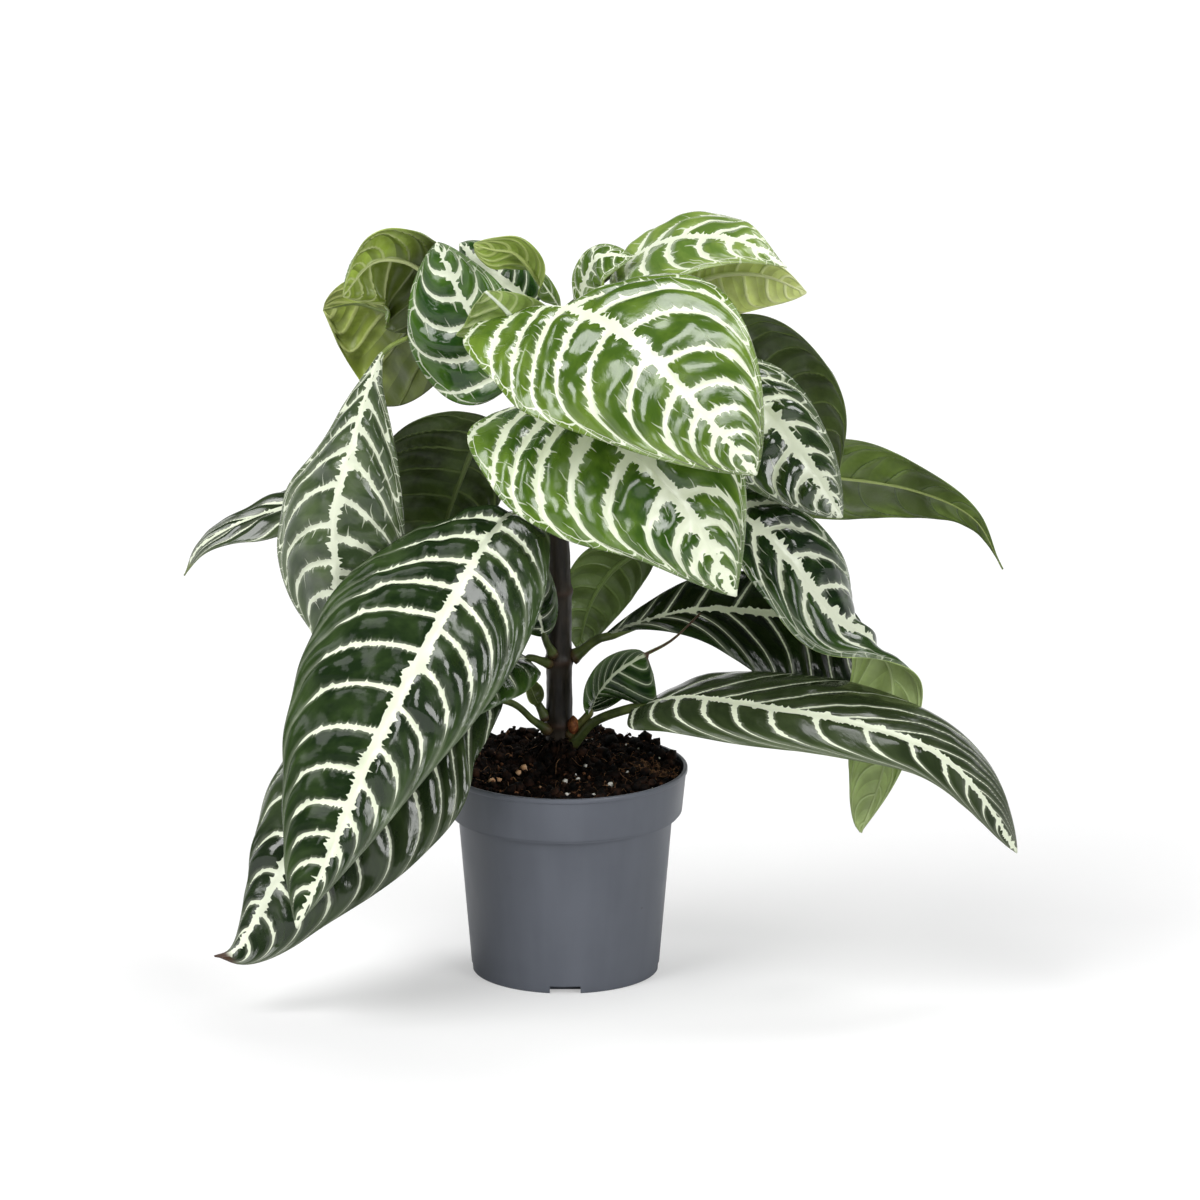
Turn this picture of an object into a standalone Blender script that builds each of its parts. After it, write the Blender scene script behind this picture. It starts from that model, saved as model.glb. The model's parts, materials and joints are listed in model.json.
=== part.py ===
"""A zebra plant in its nursery pot: pot, soil, one woody stem and its leaves, each a closed solid.

Metres, +Z up. The pot's underside lies on z = 0 with its centre at the origin; -Y is the front.
"""

import math

import bmesh
import bpy
import numpy as np
from mathutils import Matrix, Vector, noise

MM = 0.001

# The pot: a tapered body, a wider band at the top and an arched foot.
POT_HEIGHT = 103 * MM
BAND_BOTTOM = 80.8 * MM
RIM_RADIUS = 60 * MM
BAND_TOP_RADIUS = 59.3 * MM
BAND_BOTTOM_RADIUS = 57.3 * MM
BODY_TOP_RADIUS = 52.7 * MM
BASE_RADIUS = 45.9 * MM
LIP_HEIGHT = 2.4 * MM
WALL = 1.3 * MM
FLOOR = 1.8 * MM
POT_SEGMENTS = 64

# The foot's four arches, and the drain holes between them.
ARCH_COUNT = 4
ARCH_WIDTH = 15 * MM
ARCH_HEIGHT = 3.8 * MM
ARCH_DEPTH = 8 * MM
DRAIN_COUNT = 8
DRAIN_RADIUS = 3 * MM
DRAIN_RING = 29 * MM

# The soil: its level at the wall, the heap round the stem and the size of its crumbs.
GAP = 0.35 * MM
SOIL_LEVEL = 99.5 * MM
SOIL_RISE_BACK = 2.5 * MM
HEAP_HEIGHT = 9 * MM
HEAP_RADIUS = 17 * MM
CRUMB_HEIGHT = 2.2 * MM
CRUMB_SIZE = 8 * MM
SOIL_RINGS = 12

# The stem: its axis from the buried foot to the growing tip, and the radius at each point.
STEM_AXIS = [
    (-3, 6, 74), (-3, 6, 112), (-3, 6, 165), (-4, 7, 215), (-10, 10, 270), (-18, 13, 312), (-21, 14, 331)]
STEM_RADII = [6.4, 6.5, 6.2, 5.9, 4.9, 3.6, 1.6]
STEM_SIDES = 16
STEM_STATIONS = 30
NODE_HEIGHTS = [123, 155, 190, 226, 262]
NODE_SWELL = 0.9 * MM

# The leaf blade: half its thickness, the petiole's radius, and how finely it is divided.
BLADE_HALF = 0.45 * MM
PETIOLE_RADIUS = 1.7 * MM
STATION_STEP = 8 * MM
BASE_CROWDING = 1.35
ACROSS = [-1, -0.5, 0, 0.5, 1, 0.5, 0, -0.5]
SPINE_SAMPLES = 200

# How far along the spine a blade's own direction is averaged, and the leaves' three tones.
STEADY_SHARE = 0.12
TONES = {"dark": (0.02, 0.05, 0.02), "mid": (0.06, 0.14, 0.03), "pale": (0.16, 0.25, 0.05)}

# Each leaf: the height of its joint on the stem, the midrib's points from there to the tip, how many
# of them belong to the petiole, the blade's width, the shape of its outline (how blunt the base is,
# then the left and right sides' taper), the share of the width on each side, the way the upper
# face looks from base to tip, and each side's fold and droop in degrees. Lengths are in millimetres.
LEAVES = {
    "leaf_front_left": dict(
        joint=231, petiole=0, width=112, tone="dark",
        shape=(0.5, 1.2, 0.85), sides=(0.76, 1.06), fold=(4, 4), bend=(26, 30),
        midrib=[(-21, -14, 235), (-34, -32, 231), (-62, -66, 190), (-90, -88, 141), (-110, -100, 95),
            (-129, -106, 52)],
        face=[(-0.3, -0.35, 0.9), (-0.25, -0.95, 0.3), (-0.25, -0.95, 0.3), (-0.3, -0.9, 0.3)]),
    "leaf_low_left": dict(
        joint=121, petiole=0, width=112, tone="dark",
        shape=(0.75, 1.0, 1.3), sides=(1, 0.8), fold=(4, 0), bend=(30, 45),
        midrib=[(-30, -14, 140), (-66, -34, 146), (-106, -58, 115), (-134, -70, 76), (-157, -76, 35),
            (-170, -77, 29)],
        face=[(-0.1, -0.5, 0.8), (-0.3, -0.9, 0.4), (-0.3, -0.95, 0.3)]),
    "leaf_hanging_left": dict(
        joint=307, petiole=1, width=96, tone="dark",
        shape=(1.6, 1.1, 1.0), sides=(0.75, 0.85), fold=(-25, -15), bend=(15, 20),
        midrib=[(-56, 26, 317), (-84, 16, 311), (-93, 5, 300), (-103, -8, 268), (-112, -15, 235),
            (-111, -12, 198), (-106, -6, 148)],
        face=[(-0.4, -0.8, 0.2), (-0.4, -0.9, 0.3), (-0.2, -0.9, 0.3)]),
    "leaf_far_left": dict(
        joint=245, petiole=3, width=80, tone="dark",
        shape=(0.5, 1.0, 1.0), sides=(0.85, 1), fold=(5, 5), bend=(20, 20),
        midrib=[(-16, 32, 246), (-32, 50, 243), (-60, 58, 238), (-88, 60, 231), (-118, 60, 224),
            (-149, 58, 215), (-178, 52, 202), (-188, 46, 187)],
        face=[(0, -0.1, 1), (-0.1, -0.15, 1), (-0.4, -0.2, 0.8)]),
    "leaf_top_left": dict(
        joint=320, petiole=0, width=78, tone="pale",
        shape=(0.6, 0.8, 0.8), sides=(0.65, 1), fold=(0, 0), bend=(20, 30),
        midrib=[(-49, 24, 332), (-67, 30, 344), (-80, 32, 350), (-95, 28, 349), (-108, 18, 335)],
        face=[(0.1, 0.8, 0.4), (-0.1, 0.8, 0.5), (-0.6, 0.6, 0.2)]),
    "leaf_left_behind": dict(
        joint=300, petiole=0, width=104, tone="pale",
        shape=(0.7, 0.7, 0.42), sides=(0.4, 1), fold=(0, 0), bend=(20, 20),
        midrib=[(-49, 38, 309), (-74, 52, 314), (-88, 62, 317), (-103, 70, 319), (-119, 74, 315)],
        face=[(0.3, 0.85, 0.3), (0.3, 0.85, 0.3), (0.1, 0.85, 0.3)]),
    "leaf_upper_left": dict(
        joint=288, petiole=0, width=73, tone="dark",
        shape=(0.4, 0.7, 0.7), sides=(1, 0.35), fold=(5, 5), bend=(30, 35),
        midrib=[(-26, 2, 295), (-36, 8, 309), (-50, 10, 336), (-57, 11, 350), (-62, 14, 363)],
        face=[(-0.1, -0.9, 0.2), (-0.15, -0.95, 0.1), (-0.4, -0.8, 0.4)]),
    "leaf_crown_arched": dict(
        joint=322, petiole=0, width=24, tone="mid",
        shape=(0.6, 0.8, 0.6), sides=(0.9, 0.9), fold=(5, 5), bend=(20, 20),
        midrib=[(-3, 14, 329), (-9, 10, 341), (-17, 5, 353), (-25, 1, 361), (-35, -2, 363), (-44, -3, 366)],
        face=[(0.8, -0.35, 0.4), (0.6, 0.4, 0.7), (0.1, 0.95, 0.2), (0, 0.9, 0.3)]),
    "leaf_crown_left": dict(
        joint=325, petiole=0, width=44, tone="mid",
        shape=(0.6, 0.8, 0.7), sides=(0.6, 0.8), fold=(10, 5), bend=(10, 30),
        midrib=[(-15, 19, 331), (-25, 20, 338), (-34, 20, 345), (-43, 19, 353), (-51, 20, 361)],
        face=[(0.1, -0.85, 0.5), (0, -0.9, 0.4), (-0.1, -0.7, 0.7)]),
    "leaf_crown_young": dict(
        joint=317, petiole=0, width=38, tone="pale",
        shape=(0.4, 0.9, 0.9), sides=(0.95, 1.05), fold=(20, 20), bend=(10, 10),
        midrib=[(-23, -6, 323), (-27, -13, 333), (-33, -16, 342), (-40, -16, 351)],
        face=[(-0.1, 0.9, 0.4), (-0.1, 0.9, 0.3), (-0.1, 0.8, 0.4)]),
    "leaf_centre": dict(
        joint=309, petiole=0, width=118, tone="mid",
        shape=(0.38, 0.95, 0.85), sides=(1, 1), fold=(6, 0), bend=(28, 20),
        midrib=[(-26, -16, 330), (-10, -31, 340), (7, -46, 343), (34, -80, 336), (62, -108, 313),
            (91, -128, 283)],
        face=[(0, -0.2, 0.98), (-0.3, -0.45, 0.8), (-0.45, -0.6, 0.65), (-0.45, -0.75, 0.5)]),
    "leaf_below_centre": dict(
        joint=265, petiole=0, width=118, tone="mid",
        shape=(0.36, 0.95, 0.85), sides=(1, 1), fold=(6, 0), bend=(28, 20),
        midrib=[(-23, -8, 284), (-2, -28, 290), (29, -60, 280), (58, -88, 256), (82, -104, 217)],
        face=[(0, -0.25, 0.97), (-0.35, -0.6, 0.7), (-0.4, -0.8, 0.5)]),
    "leaf_top_right": dict(
        joint=316, petiole=1, width=90, tone="mid",
        shape=(0.45, 1.2, 1.1), sides=(0.8, 0.8), fold=(5, 5), bend=(35, 35),
        midrib=[(5, 40, 327), (22, 42, 340), (44, 26, 359), (68, 8, 367), (89, -8, 367), (107, -18, 358)],
        face=[(-0.4, -0.2, 0.85), (-0.1, -0.4, 0.85), (0.2, -0.5, 0.8)]),
    "leaf_top_right_under": dict(
        joint=304, petiole=1, width=46, tone="pale",
        shape=(0.55, 0.8, 0.8), sides=(0.9, 0.5), fold=(0, 0), bend=(10, 10),
        midrib=[(17, 38, 321), (56, 36, 333), (75, 24, 344), (97, 10, 347), (117, 0, 341)],
        face=[(0, 0.9, -0.3), (0, 0.9, -0.2), (0.1, 0.9, 0)]),
    "leaf_crown_right": dict(
        joint=311, petiole=1, width=46, tone="mid",
        shape=(0.6, 0.8, 0.8), sides=(0.45, 1), fold=(5, 5), bend=(20, 20),
        midrib=[(-4, 22, 311), (6, 31, 323), (10, 32, 338), (17, 30, 348), (33, 21, 350)],
        face=[(-0.6, -0.4, 0.6), (-0.2, -0.6, 0.8), (0, -0.5, 0.9)]),
    "leaf_back_right": dict(
        joint=293, petiole=1, width=96, tone="dark",
        shape=(0.55, 0.9, 0.9), sides=(1, 0.8), fold=(0, 0), bend=(20, 20),
        midrib=[(27, 32, 310), (56, 40, 309), (88, 38, 299), (113, 28, 279), (131, 12, 235)],
        face=[(0, 0.8, 0.6), (0.2, 0.85, 0.4), (0.5, 0.8, 0.2)]),
    "leaf_right_upper": dict(
        joint=283, petiole=1, width=84, tone="dark",
        shape=(0.5, 0.8, 0.8), sides=(0.5, 0.9), fold=(8, 8), bend=(25, 25),
        midrib=[(27, 18, 298), (61, 6, 305), (93, -16, 290), (115, -30, 267), (134, -36, 238)],
        face=[(-0.3, -0.4, 0.9), (-0.2, -0.75, 0.65), (0, -0.85, 0.5)]),
    "leaf_far_right": dict(
        joint=234, petiole=1, width=84, tone="dark",
        shape=(0.6, 1.3, 1.6), sides=(0.8, 0.85), fold=(5, 5), bend=(15, 15),
        midrib=[(41, 36, 240), (88, 54, 238), (139, 64, 232), (175, 68, 224), (202, 64, 211),
            (216, 58, 187)],
        face=[(0.1, 0.7, 0.7), (0.1, 0.75, 0.6), (0.5, 0.7, 0.3)]),
    "leaf_right_hanging": dict(
        joint=226, petiole=1, width=100, tone="dark",
        shape=(0.5, 0.6, 1.0), sides=(0.58, 0.5), fold=(5, 5), bend=(15, 15),
        midrib=[(36, -6, 241), (61, -12, 243), (90, -20, 232), (109, -24, 214), (127, -22, 189),
            (146, -14, 172), (159, -6, 155), (160, -2, 131), (155, -4, 99), (145, -8, 71)],
        face=[(-0.1, -0.5, 0.85), (-0.1, -0.6, 0.8), (0, -0.6, 0.7), (0.4, 0.3, 0.5), (0.3, 0.95, 0),
            (0.3, 0.95, 0)]),
    "leaf_right_shaded": dict(
        joint=157, petiole=0, width=84, tone="dark",
        shape=(1.3, 0.7, 0.7), sides=(0.6, 0.78), fold=(5, 5), bend=(20, 20),
        midrib=[(17, 6, 166), (39, 6, 175), (64, 8, 180), (90, 12, 178), (117, 18, 171), (153, 28, 145)],
        face=[(0, -0.6, 0.8), (0, -0.75, 0.65), (0.1, -0.8, 0.5)]),
    "leaf_right_long": dict(
        joint=114, petiole=1, width=96, tone="dark",
        shape=(0.4, 0.7, 0.8), sides=(0.8, 0.63), fold=(5, 5), bend=(25, 35),
        midrib=[(15, -8, 128), (33, -20, 138), (59, -36, 148), (101, -50, 146), (138, -56, 141),
            (177, -56, 127), (201, -52, 104), (220, -46, 72)],
        face=[(0, -0.25, 0.98), (0, -0.25, 0.98), (0.1, -0.3, 0.95), (0.4, -0.6, 0.6)]),
    "leaf_folded_by_stem": dict(
        joint=120, petiole=0, width=62, tone="dark",
        shape=(0.9, 3.2, 3.2), sides=(0.4, 0.95), fold=(30, 10), bend=(10, 10),
        midrib=[(7, -9, 129), (12, -18, 147), (23, -20, 162), (35, -17, 165), (50, -12, 167), (64, -6, 177)],
        face=[(0.5, -0.7, 0.4), (0.4, -0.8, 0.4), (0.2, -0.8, 0.5)]),
    "leaf_behind_stem": dict(
        joint=219, petiole=1, width=60, tone="pale",
        shape=(0.6, 0.8, 0.8), sides=(0.6, 0.6), fold=(5, 5), bend=(15, 15),
        midrib=[(27, 28, 219), (38, 36, 207), (22, 42, 190), (12, 42, 173), (6, 36, 152)],
        face=[(-0.1, 0.95, 0.3), (-0.1, 0.95, 0.2), (-0.1, 0.95, 0.2)]),
    "leaf_back_left": dict(
        joint=264, petiole=0, width=96, tone="dark",
        shape=(0.5, 0.8, 0.8), sides=(1, 0.5), fold=(5, 5), bend=(20, 20),
        midrib=[(-32, 22, 269), (-43, 30, 260), (-52, 33, 238), (-60, 31, 214), (-67, 25, 187)],
        face=[(-0.2, 0.7, 0.6), (-0.2, 0.9, 0.3), (-0.2, 0.9, 0.3)]),
    "leaf_hidden_left": dict(
        joint=155, petiole=0, width=40, tone="dark",
        shape=(0.6, 0.8, 0.8), sides=(1, 1), fold=(5, 5), bend=(20, 20),
        midrib=[(-18, -8, 160), (-30, -26, 162), (-42, -42, 155), (-50, -52, 141)],
        face=[(-0.2, -0.6, 0.7), (-0.2, -0.8, 0.5)]),
    "leaf_beside_stem": dict(
        joint=160, petiole=0, width=46, tone="dark",
        shape=(0.6, 0.8, 0.8), sides=(0.8, 0.5), fold=(5, 5), bend=(20, 20),
        midrib=[(-10, -6, 170), (-16, -12, 195), (-26, -14, 218), (-41, -12, 220)],
        face=[(-0.2, -0.9, 0.1), (-0.1, -0.8, 0.5), (-0.2, -0.7, 0.7)]),
    "leaf_sprout": dict(
        joint=127, petiole=0, width=11, tone="pale",
        shape=(0.7, 0.9, 0.9), sides=(1, 1), fold=(35, 35), bend=(0, 0),
        midrib=[(-13, 3, 133), (-16, 2, 140), (-18, 0, 148)],
        face=[(0.3, -0.9, 0.3), (0.3, -0.9, 0.3)]),
}


def clear_scene():
    for item in list(bpy.data.objects):
        bpy.data.objects.remove(item, do_unlink=True)


def plain_material(name, colour, roughness):
    made = bpy.data.materials.new(name)
    made.use_nodes = True
    shader = made.node_tree.nodes["Principled BSDF"]
    shader.inputs["Base Color"].default_value = (*colour, 1)
    shader.inputs["Roughness"].default_value = roughness
    shader.inputs["Metallic"].default_value = 0
    return made


def add_object(name, bm, surface):
    bmesh.ops.recalc_face_normals(bm, faces=bm.faces)
    mesh = bpy.data.meshes.new(name)
    bm.to_mesh(mesh)
    bm.free()
    mesh.shade_smooth()
    mesh.set_sharp_from_angle(angle=math.radians(40))
    mesh.materials.append(surface)
    made = bpy.data.objects.new(name, mesh)
    bpy.context.scene.collection.objects.link(made)
    return made


def hide_cutter(cutter):
    cutter.hide_render = True
    cutter.display_type = "WIRE"
    return cutter


def boolean(target, cutter, operation):
    step = target.modifiers.new(cutter.name, "BOOLEAN")
    step.operation = operation
    step.solver = "EXACT"
    step.object = cutter


def smooth_route(points, samples):
    """A Catmull-Rom curve through the points, evenly spaced, its length, and where each point lies."""
    points = np.array(points, float)
    ends = np.vstack([2 * points[0] - points[1], points, 2 * points[-1] - points[-2]])
    steps = 24
    t = np.linspace(0, 1, steps, endpoint=False)[:, None]
    pieces = []
    for a, b, c, d in zip(ends, ends[1:], ends[2:], ends[3:]):
        square = (2 * a - 5 * b + 4 * c - d) * t**2
        cube = (3 * b - a - 3 * c + d) * t**3
        pieces.append((2 * b + (c - a) * t + square + cube) / 2)
    curve = np.vstack(pieces + [points[-1:]])
    along = np.concatenate([[0], np.cumsum(np.linalg.norm(np.diff(curve, axis=0), axis=1))])
    even = np.linspace(0, along[-1], samples)
    route = np.stack([np.interp(even, along, curve[:, k]) for k in range(3)], axis=1)
    return route, along[-1], along[::steps]


def along_list(values, share):
    """The list's values spread evenly from 0 to 1 and read at each share."""
    values = np.array(values, float)
    places = np.linspace(0, 1, len(values))
    return np.stack([np.interp(share, places, values[:, k]) for k in range(values.shape[1])], axis=1)


def unit(vectors):
    return vectors / np.linalg.norm(vectors, axis=1)[:, None]


def tube(stations, places, ring):
    """A grid rolled into a tube: ring(i) gives the points round station i; both ends are closed."""
    bm = bmesh.new()
    count = len(ring(0))
    bmesh.ops.create_grid(bm, x_segments=stations - 1, y_segments=count, size=1)
    for vertex in bm.verts:
        i = round((vertex.co.x + 1) / 2 * (stations - 1))
        j = round((vertex.co.y + 1) / 2 * count) % count
        vertex.co = places[i] + ring(i)[j]
    bmesh.ops.remove_doubles(bm, verts=bm.verts, dist=0.000001)
    bmesh.ops.holes_fill(bm, edges=[edge for edge in bm.edges if edge.is_boundary], sides=0)
    bmesh.ops.triangulate(bm, faces=bm.faces)
    return bm


def stem_line():
    route, _, _ = smooth_route(np.array(STEM_AXIS) * MM, SPINE_SAMPLES)
    return route


def stem_radius(height):
    """The stem's radius in metres at a height, with a swelling at each node where leaves leave it."""
    heights = [point[2] * MM for point in STEM_AXIS]
    radius = np.interp(height, heights, np.array(STEM_RADII) * MM)
    for node in NODE_HEIGHTS:
        radius += NODE_SWELL * math.exp(-(((height - node * MM) / (2.5 * MM)) ** 2))
    return radius


def make_stem(surface):
    line = stem_line()
    heights = np.linspace(line[0, 2], line[-1, 2], STEM_STATIONS)
    places = np.stack([np.interp(heights, line[:, 2], line[:, k]) for k in range(3)], axis=1)
    turns = np.linspace(0, 2 * math.pi, STEM_SIDES, endpoint=False)
    circle = np.stack([np.cos(turns), np.sin(turns), 0 * turns], axis=1)

    def ring(i):
        return circle * stem_radius(heights[i])

    return add_object("stem", tube(STEM_STATIONS, places, ring), surface)


def stem_at(height):
    """The point on the stem's axis at a height, and the axis's direction there."""
    line = stem_line()
    direction = np.gradient(line, axis=0)
    point = np.array([np.interp(height, line[:, 2], line[:, k]) for k in range(3)])
    upward = np.array([np.interp(height, line[:, 2], direction[:, k]) for k in range(3)])
    return point, upward / np.linalg.norm(upward)


def leaf_route(leaf):
    """The midrib from the stem's side to the tip, its length, and the share where the blade begins."""
    height = leaf["joint"] * MM
    axis, upward = stem_at(height)
    points = np.array(leaf["midrib"]) * MM
    outward = points[0] - axis
    outward -= upward * (outward @ upward)
    outward /= np.linalg.norm(outward)
    clear = max(stem_radius(height + step * MM) for step in (-2, 0, 2))
    start = axis + outward * (clear + GAP)
    lead = start + outward * 0.3 * np.linalg.norm(points[0] - start)
    route, length, knots = smooth_route([start, lead, *points], SPINE_SAMPLES)
    return route, length, knots[2 + leaf["petiole"]] / length


def outline(share, blunt, taper):
    """Half the blade's width along it, as a share of the widest half."""
    share = np.clip(share, 0, 1)
    widest = blunt / (blunt + taper)
    return share**blunt * (1 - share) ** taper / (widest**blunt * (1 - widest) ** taper)


def steady(directions):
    """The directions along a route, each averaged with its neighbours, so that no blade folds on itself."""
    reach = round(STEADY_SHARE * len(directions))
    padded = np.vstack([directions[:1]] * reach + [directions] + [directions[-1:]] * reach)
    sums = np.cumsum(np.vstack([0 * padded[:1], padded]), axis=0)
    return unit(sums[2 * reach + 1 :] - sums[: -2 * reach - 1])


def leaf_stations(leaf):
    """At each station: the midrib point, the way across, the way up, and the share along the blade."""
    route, length, blade_start = leaf_route(leaf)
    petiole_count = max(3, round(length * blade_start / STATION_STEP))
    blade_count = max(8, round(length * (1 - blade_start) / STATION_STEP))
    stops = np.concatenate([
        np.linspace(0, blade_start, petiole_count, endpoint=False),
        blade_start + (1 - blade_start) * np.linspace(0, 1, blade_count) ** BASE_CROWDING,
    ])
    places = np.linspace(0, 1, len(route))
    forward = steady(unit(np.gradient(route, axis=0)))
    share = np.clip((places - blade_start) / (1 - blade_start), 0, 1)
    up = along_list(leaf["face"], share)
    up = unit(up - forward * np.sum(up * forward, axis=1)[:, None])
    across = np.cross(forward, up)

    def read(values):
        return np.stack([np.interp(stops, places, values[:, k]) for k in range(3)], axis=1)

    return read(route), read(across), read(up), np.clip((stops - blade_start) / (1 - blade_start), 0, 1)


def side_point(leaf, side, v, half):
    """Across and up offsets of the point at v on one side, folded up from the midrib and drooping."""
    fold = math.radians(leaf["fold"][side])
    bend = math.radians(leaf["bend"][side])
    steps = (np.arange(8) + 0.5) / 8 * abs(v)
    angles = fold - bend * steps
    reach = half * abs(v)
    return math.copysign(reach * np.cos(angles).mean(), v), reach * np.sin(angles).mean()


def make_leaf(name, leaf, surface):
    centre, across, up, share = leaf_stations(leaf)
    blunt, *tapers = leaf["shape"]
    last = len(share) - 1

    def ring(i):
        stalk = PETIOLE_RADIUS * (1 - 0.75 * share[i])
        points = []
        for place, v in enumerate(ACROSS):
            side = int(v > 0)
            half = leaf["width"] / 2 * MM * leaf["sides"][side] * outline(share[i], blunt, tapers[side])
            half = max(half, stalk, 0.4 * MM)
            sideways, rise = side_point(leaf, side, v, half)
            ridge = max(0, 1 - abs(v) * half / stalk)
            lift = BLADE_HALF * (1 - v * v) if share[i] > 0 else 0
            upper = lift + (0 if share[i] > 0 else stalk * math.sqrt(1 - v * v))
            lower = lift + (stalk * ridge if share[i] > 0 else stalk * math.sqrt(1 - v * v))
            rise += upper if place < 5 else -lower
            if i == last:
                sideways, rise = sideways * 0.5, rise * 0.5
            points.append(across[i] * sideways + up[i] * rise)
        return points

    return add_object(name, tube(len(centre), centre, ring), surface)


def wall_radius(height):
    """The pot's inner radius at a height."""
    if height < BAND_BOTTOM - WALL:
        share = height / (BAND_BOTTOM - WALL)
        return BASE_RADIUS - WALL + (BODY_TOP_RADIUS - BASE_RADIUS) * share
    share = (height - BAND_BOTTOM + WALL) / (POT_HEIGHT - BAND_BOTTOM + WALL)
    return BAND_BOTTOM_RADIUS - WALL + (BAND_TOP_RADIUS - BAND_BOTTOM_RADIUS) * share


def spin_solid(profile):
    """A closed body turned round Z from a profile of (radius, height) points that starts and ends on it."""
    bm = bmesh.new()
    corners = [bm.verts.new((radius, 0, height)) for radius, height in profile]
    edges = [bm.edges.new(pair) for pair in zip(corners, corners[1:])]
    bmesh.ops.spin(
        bm, geom=corners + edges, cent=(0, 0, 0), axis=(0, 0, 1), angle=2 * math.pi, steps=POT_SEGMENTS,
        use_merge=True)
    bmesh.ops.remove_doubles(bm, verts=bm.verts, dist=0.000001)
    return bm


def box(bm, centre, size, turn):
    place = Matrix.Rotation(turn, 4, "Z") @ Matrix.Translation(centre) @ Matrix.Diagonal((*size, 1))
    bmesh.ops.create_cube(bm, size=1, matrix=place)


def arch_boxes(name, grow, depth, low, high):
    """One box at each arch of the foot, reaching in from the wall."""
    bm = bmesh.new()
    size = (depth, ARCH_WIDTH + 2 * grow, high - low)
    for k in range(ARCH_COUNT):
        turn = -math.pi / 2 + 2 * math.pi * k / ARCH_COUNT
        box(bm, (BASE_RADIUS + WALL - depth / 2, 0, (low + high) / 2), size, turn)
    return hide_cutter(add_object(name, bm, None))


def inside_limit(name):
    """The pot's outer shape drawn in a little, which trims the hoods over the arches."""
    inset = 0.4 * WALL
    profile = [
        (0, -MM), (BASE_RADIUS - inset, -MM), (BODY_TOP_RADIUS - inset, BAND_BOTTOM), (0, BAND_BOTTOM)]
    return hide_cutter(add_object(name, spin_solid(profile), None))


def make_pot(surface):
    top = POT_HEIGHT
    step = BAND_BOTTOM
    profile = [
        (0, 0), (BASE_RADIUS - 0.8 * MM, 0), (BASE_RADIUS, 0.8 * MM), (BODY_TOP_RADIUS, step - 0.6 * MM),
        (BODY_TOP_RADIUS + 0.6 * MM, step), (BAND_BOTTOM_RADIUS - 0.5 * MM, step),
        (BAND_BOTTOM_RADIUS, step + 0.5 * MM), (BAND_TOP_RADIUS, top - LIP_HEIGHT),
        (RIM_RADIUS, top - LIP_HEIGHT + 0.5 * MM),
        (RIM_RADIUS, top - 0.5 * MM), (RIM_RADIUS - 0.5 * MM, top), (BAND_TOP_RADIUS - WALL + 0.4 * MM, top),
        (BAND_TOP_RADIUS - WALL, top - 0.4 * MM), (BAND_BOTTOM_RADIUS - WALL, step - WALL),
        (BODY_TOP_RADIUS - WALL, step - WALL), (BASE_RADIUS - WALL, FLOOR), (0, FLOOR)]
    pot = add_object("pot", spin_solid(profile), surface)
    hood = ARCH_HEIGHT + WALL
    hoods = arch_boxes("arch_hoods", WALL, ARCH_DEPTH + 2 * WALL, 0.5 * MM, hood)
    boolean(hoods, inside_limit("hood_limit"), "INTERSECT")
    boolean(pot, hoods, "UNION")
    boolean(pot, arch_boxes("arch_spaces", 0, ARCH_DEPTH + WALL, -MM, ARCH_HEIGHT), "DIFFERENCE")
    drains = bmesh.new()
    for k in range(DRAIN_COUNT):
        turn = 2 * math.pi * (k + 0.5) / DRAIN_COUNT
        place = Matrix.Translation((DRAIN_RING * math.cos(turn), DRAIN_RING * math.sin(turn), 0))
        bmesh.ops.create_cone(
            drains, cap_ends=True, segments=12, radius1=DRAIN_RADIUS, radius2=DRAIN_RADIUS, depth=6 * FLOOR,
            matrix=place)
    boolean(pot, hide_cutter(add_object("drain_cutters", drains, None)), "DIFFERENCE")
    return pot


def soil_height(x, y):
    """The soil's surface: higher at the back, heaped round the stem and crumbly all over."""
    foot = Vector((STEM_AXIS[1][0], STEM_AXIS[1][1])) * MM
    away = (Vector((x, y)) - foot).length
    level = SOIL_LEVEL + SOIL_RISE_BACK * y / RIM_RADIUS
    heap = HEAP_HEIGHT * math.exp(-((away / HEAP_RADIUS) ** 2))
    crumbs = noise.noise(Vector((x, y, 0.02)) / CRUMB_SIZE)
    crumbs += 0.5 * noise.noise(Vector((x, y, 0.07)) / (CRUMB_SIZE / 2))
    return level + heap + CRUMB_HEIGHT * crumbs


def make_soil(surface):
    step = BAND_BOTTOM - WALL
    low = FLOOR + GAP
    outer = [(wall_radius(low) - GAP, low), (wall_radius(step - MM) - GAP, step - GAP)]
    outer.append((wall_radius(step) - GAP, step + GAP))
    edge = wall_radius(SOIL_LEVEL) - GAP - 0.1 * MM
    top = [(edge * k / SOIL_RINGS, SOIL_LEVEL) for k in range(SOIL_RINGS, -1, -1)]
    bm = spin_solid([(0, low), *outer, *top])
    for vertex in bm.verts:
        if vertex.co.z > SOIL_LEVEL - 0.1 * MM:
            vertex.co.z = soil_height(vertex.co.x, vertex.co.y)
    soil = add_object("soil", bm, surface)
    hood = ARCH_HEIGHT + WALL + GAP
    boolean(soil, arch_boxes("soil_arches", WALL + GAP, ARCH_DEPTH + 2 * WALL + GAP, -MM, hood), "DIFFERENCE")
    boolean(soil, stem_hole(), "DIFFERENCE")
    return soil


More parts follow.
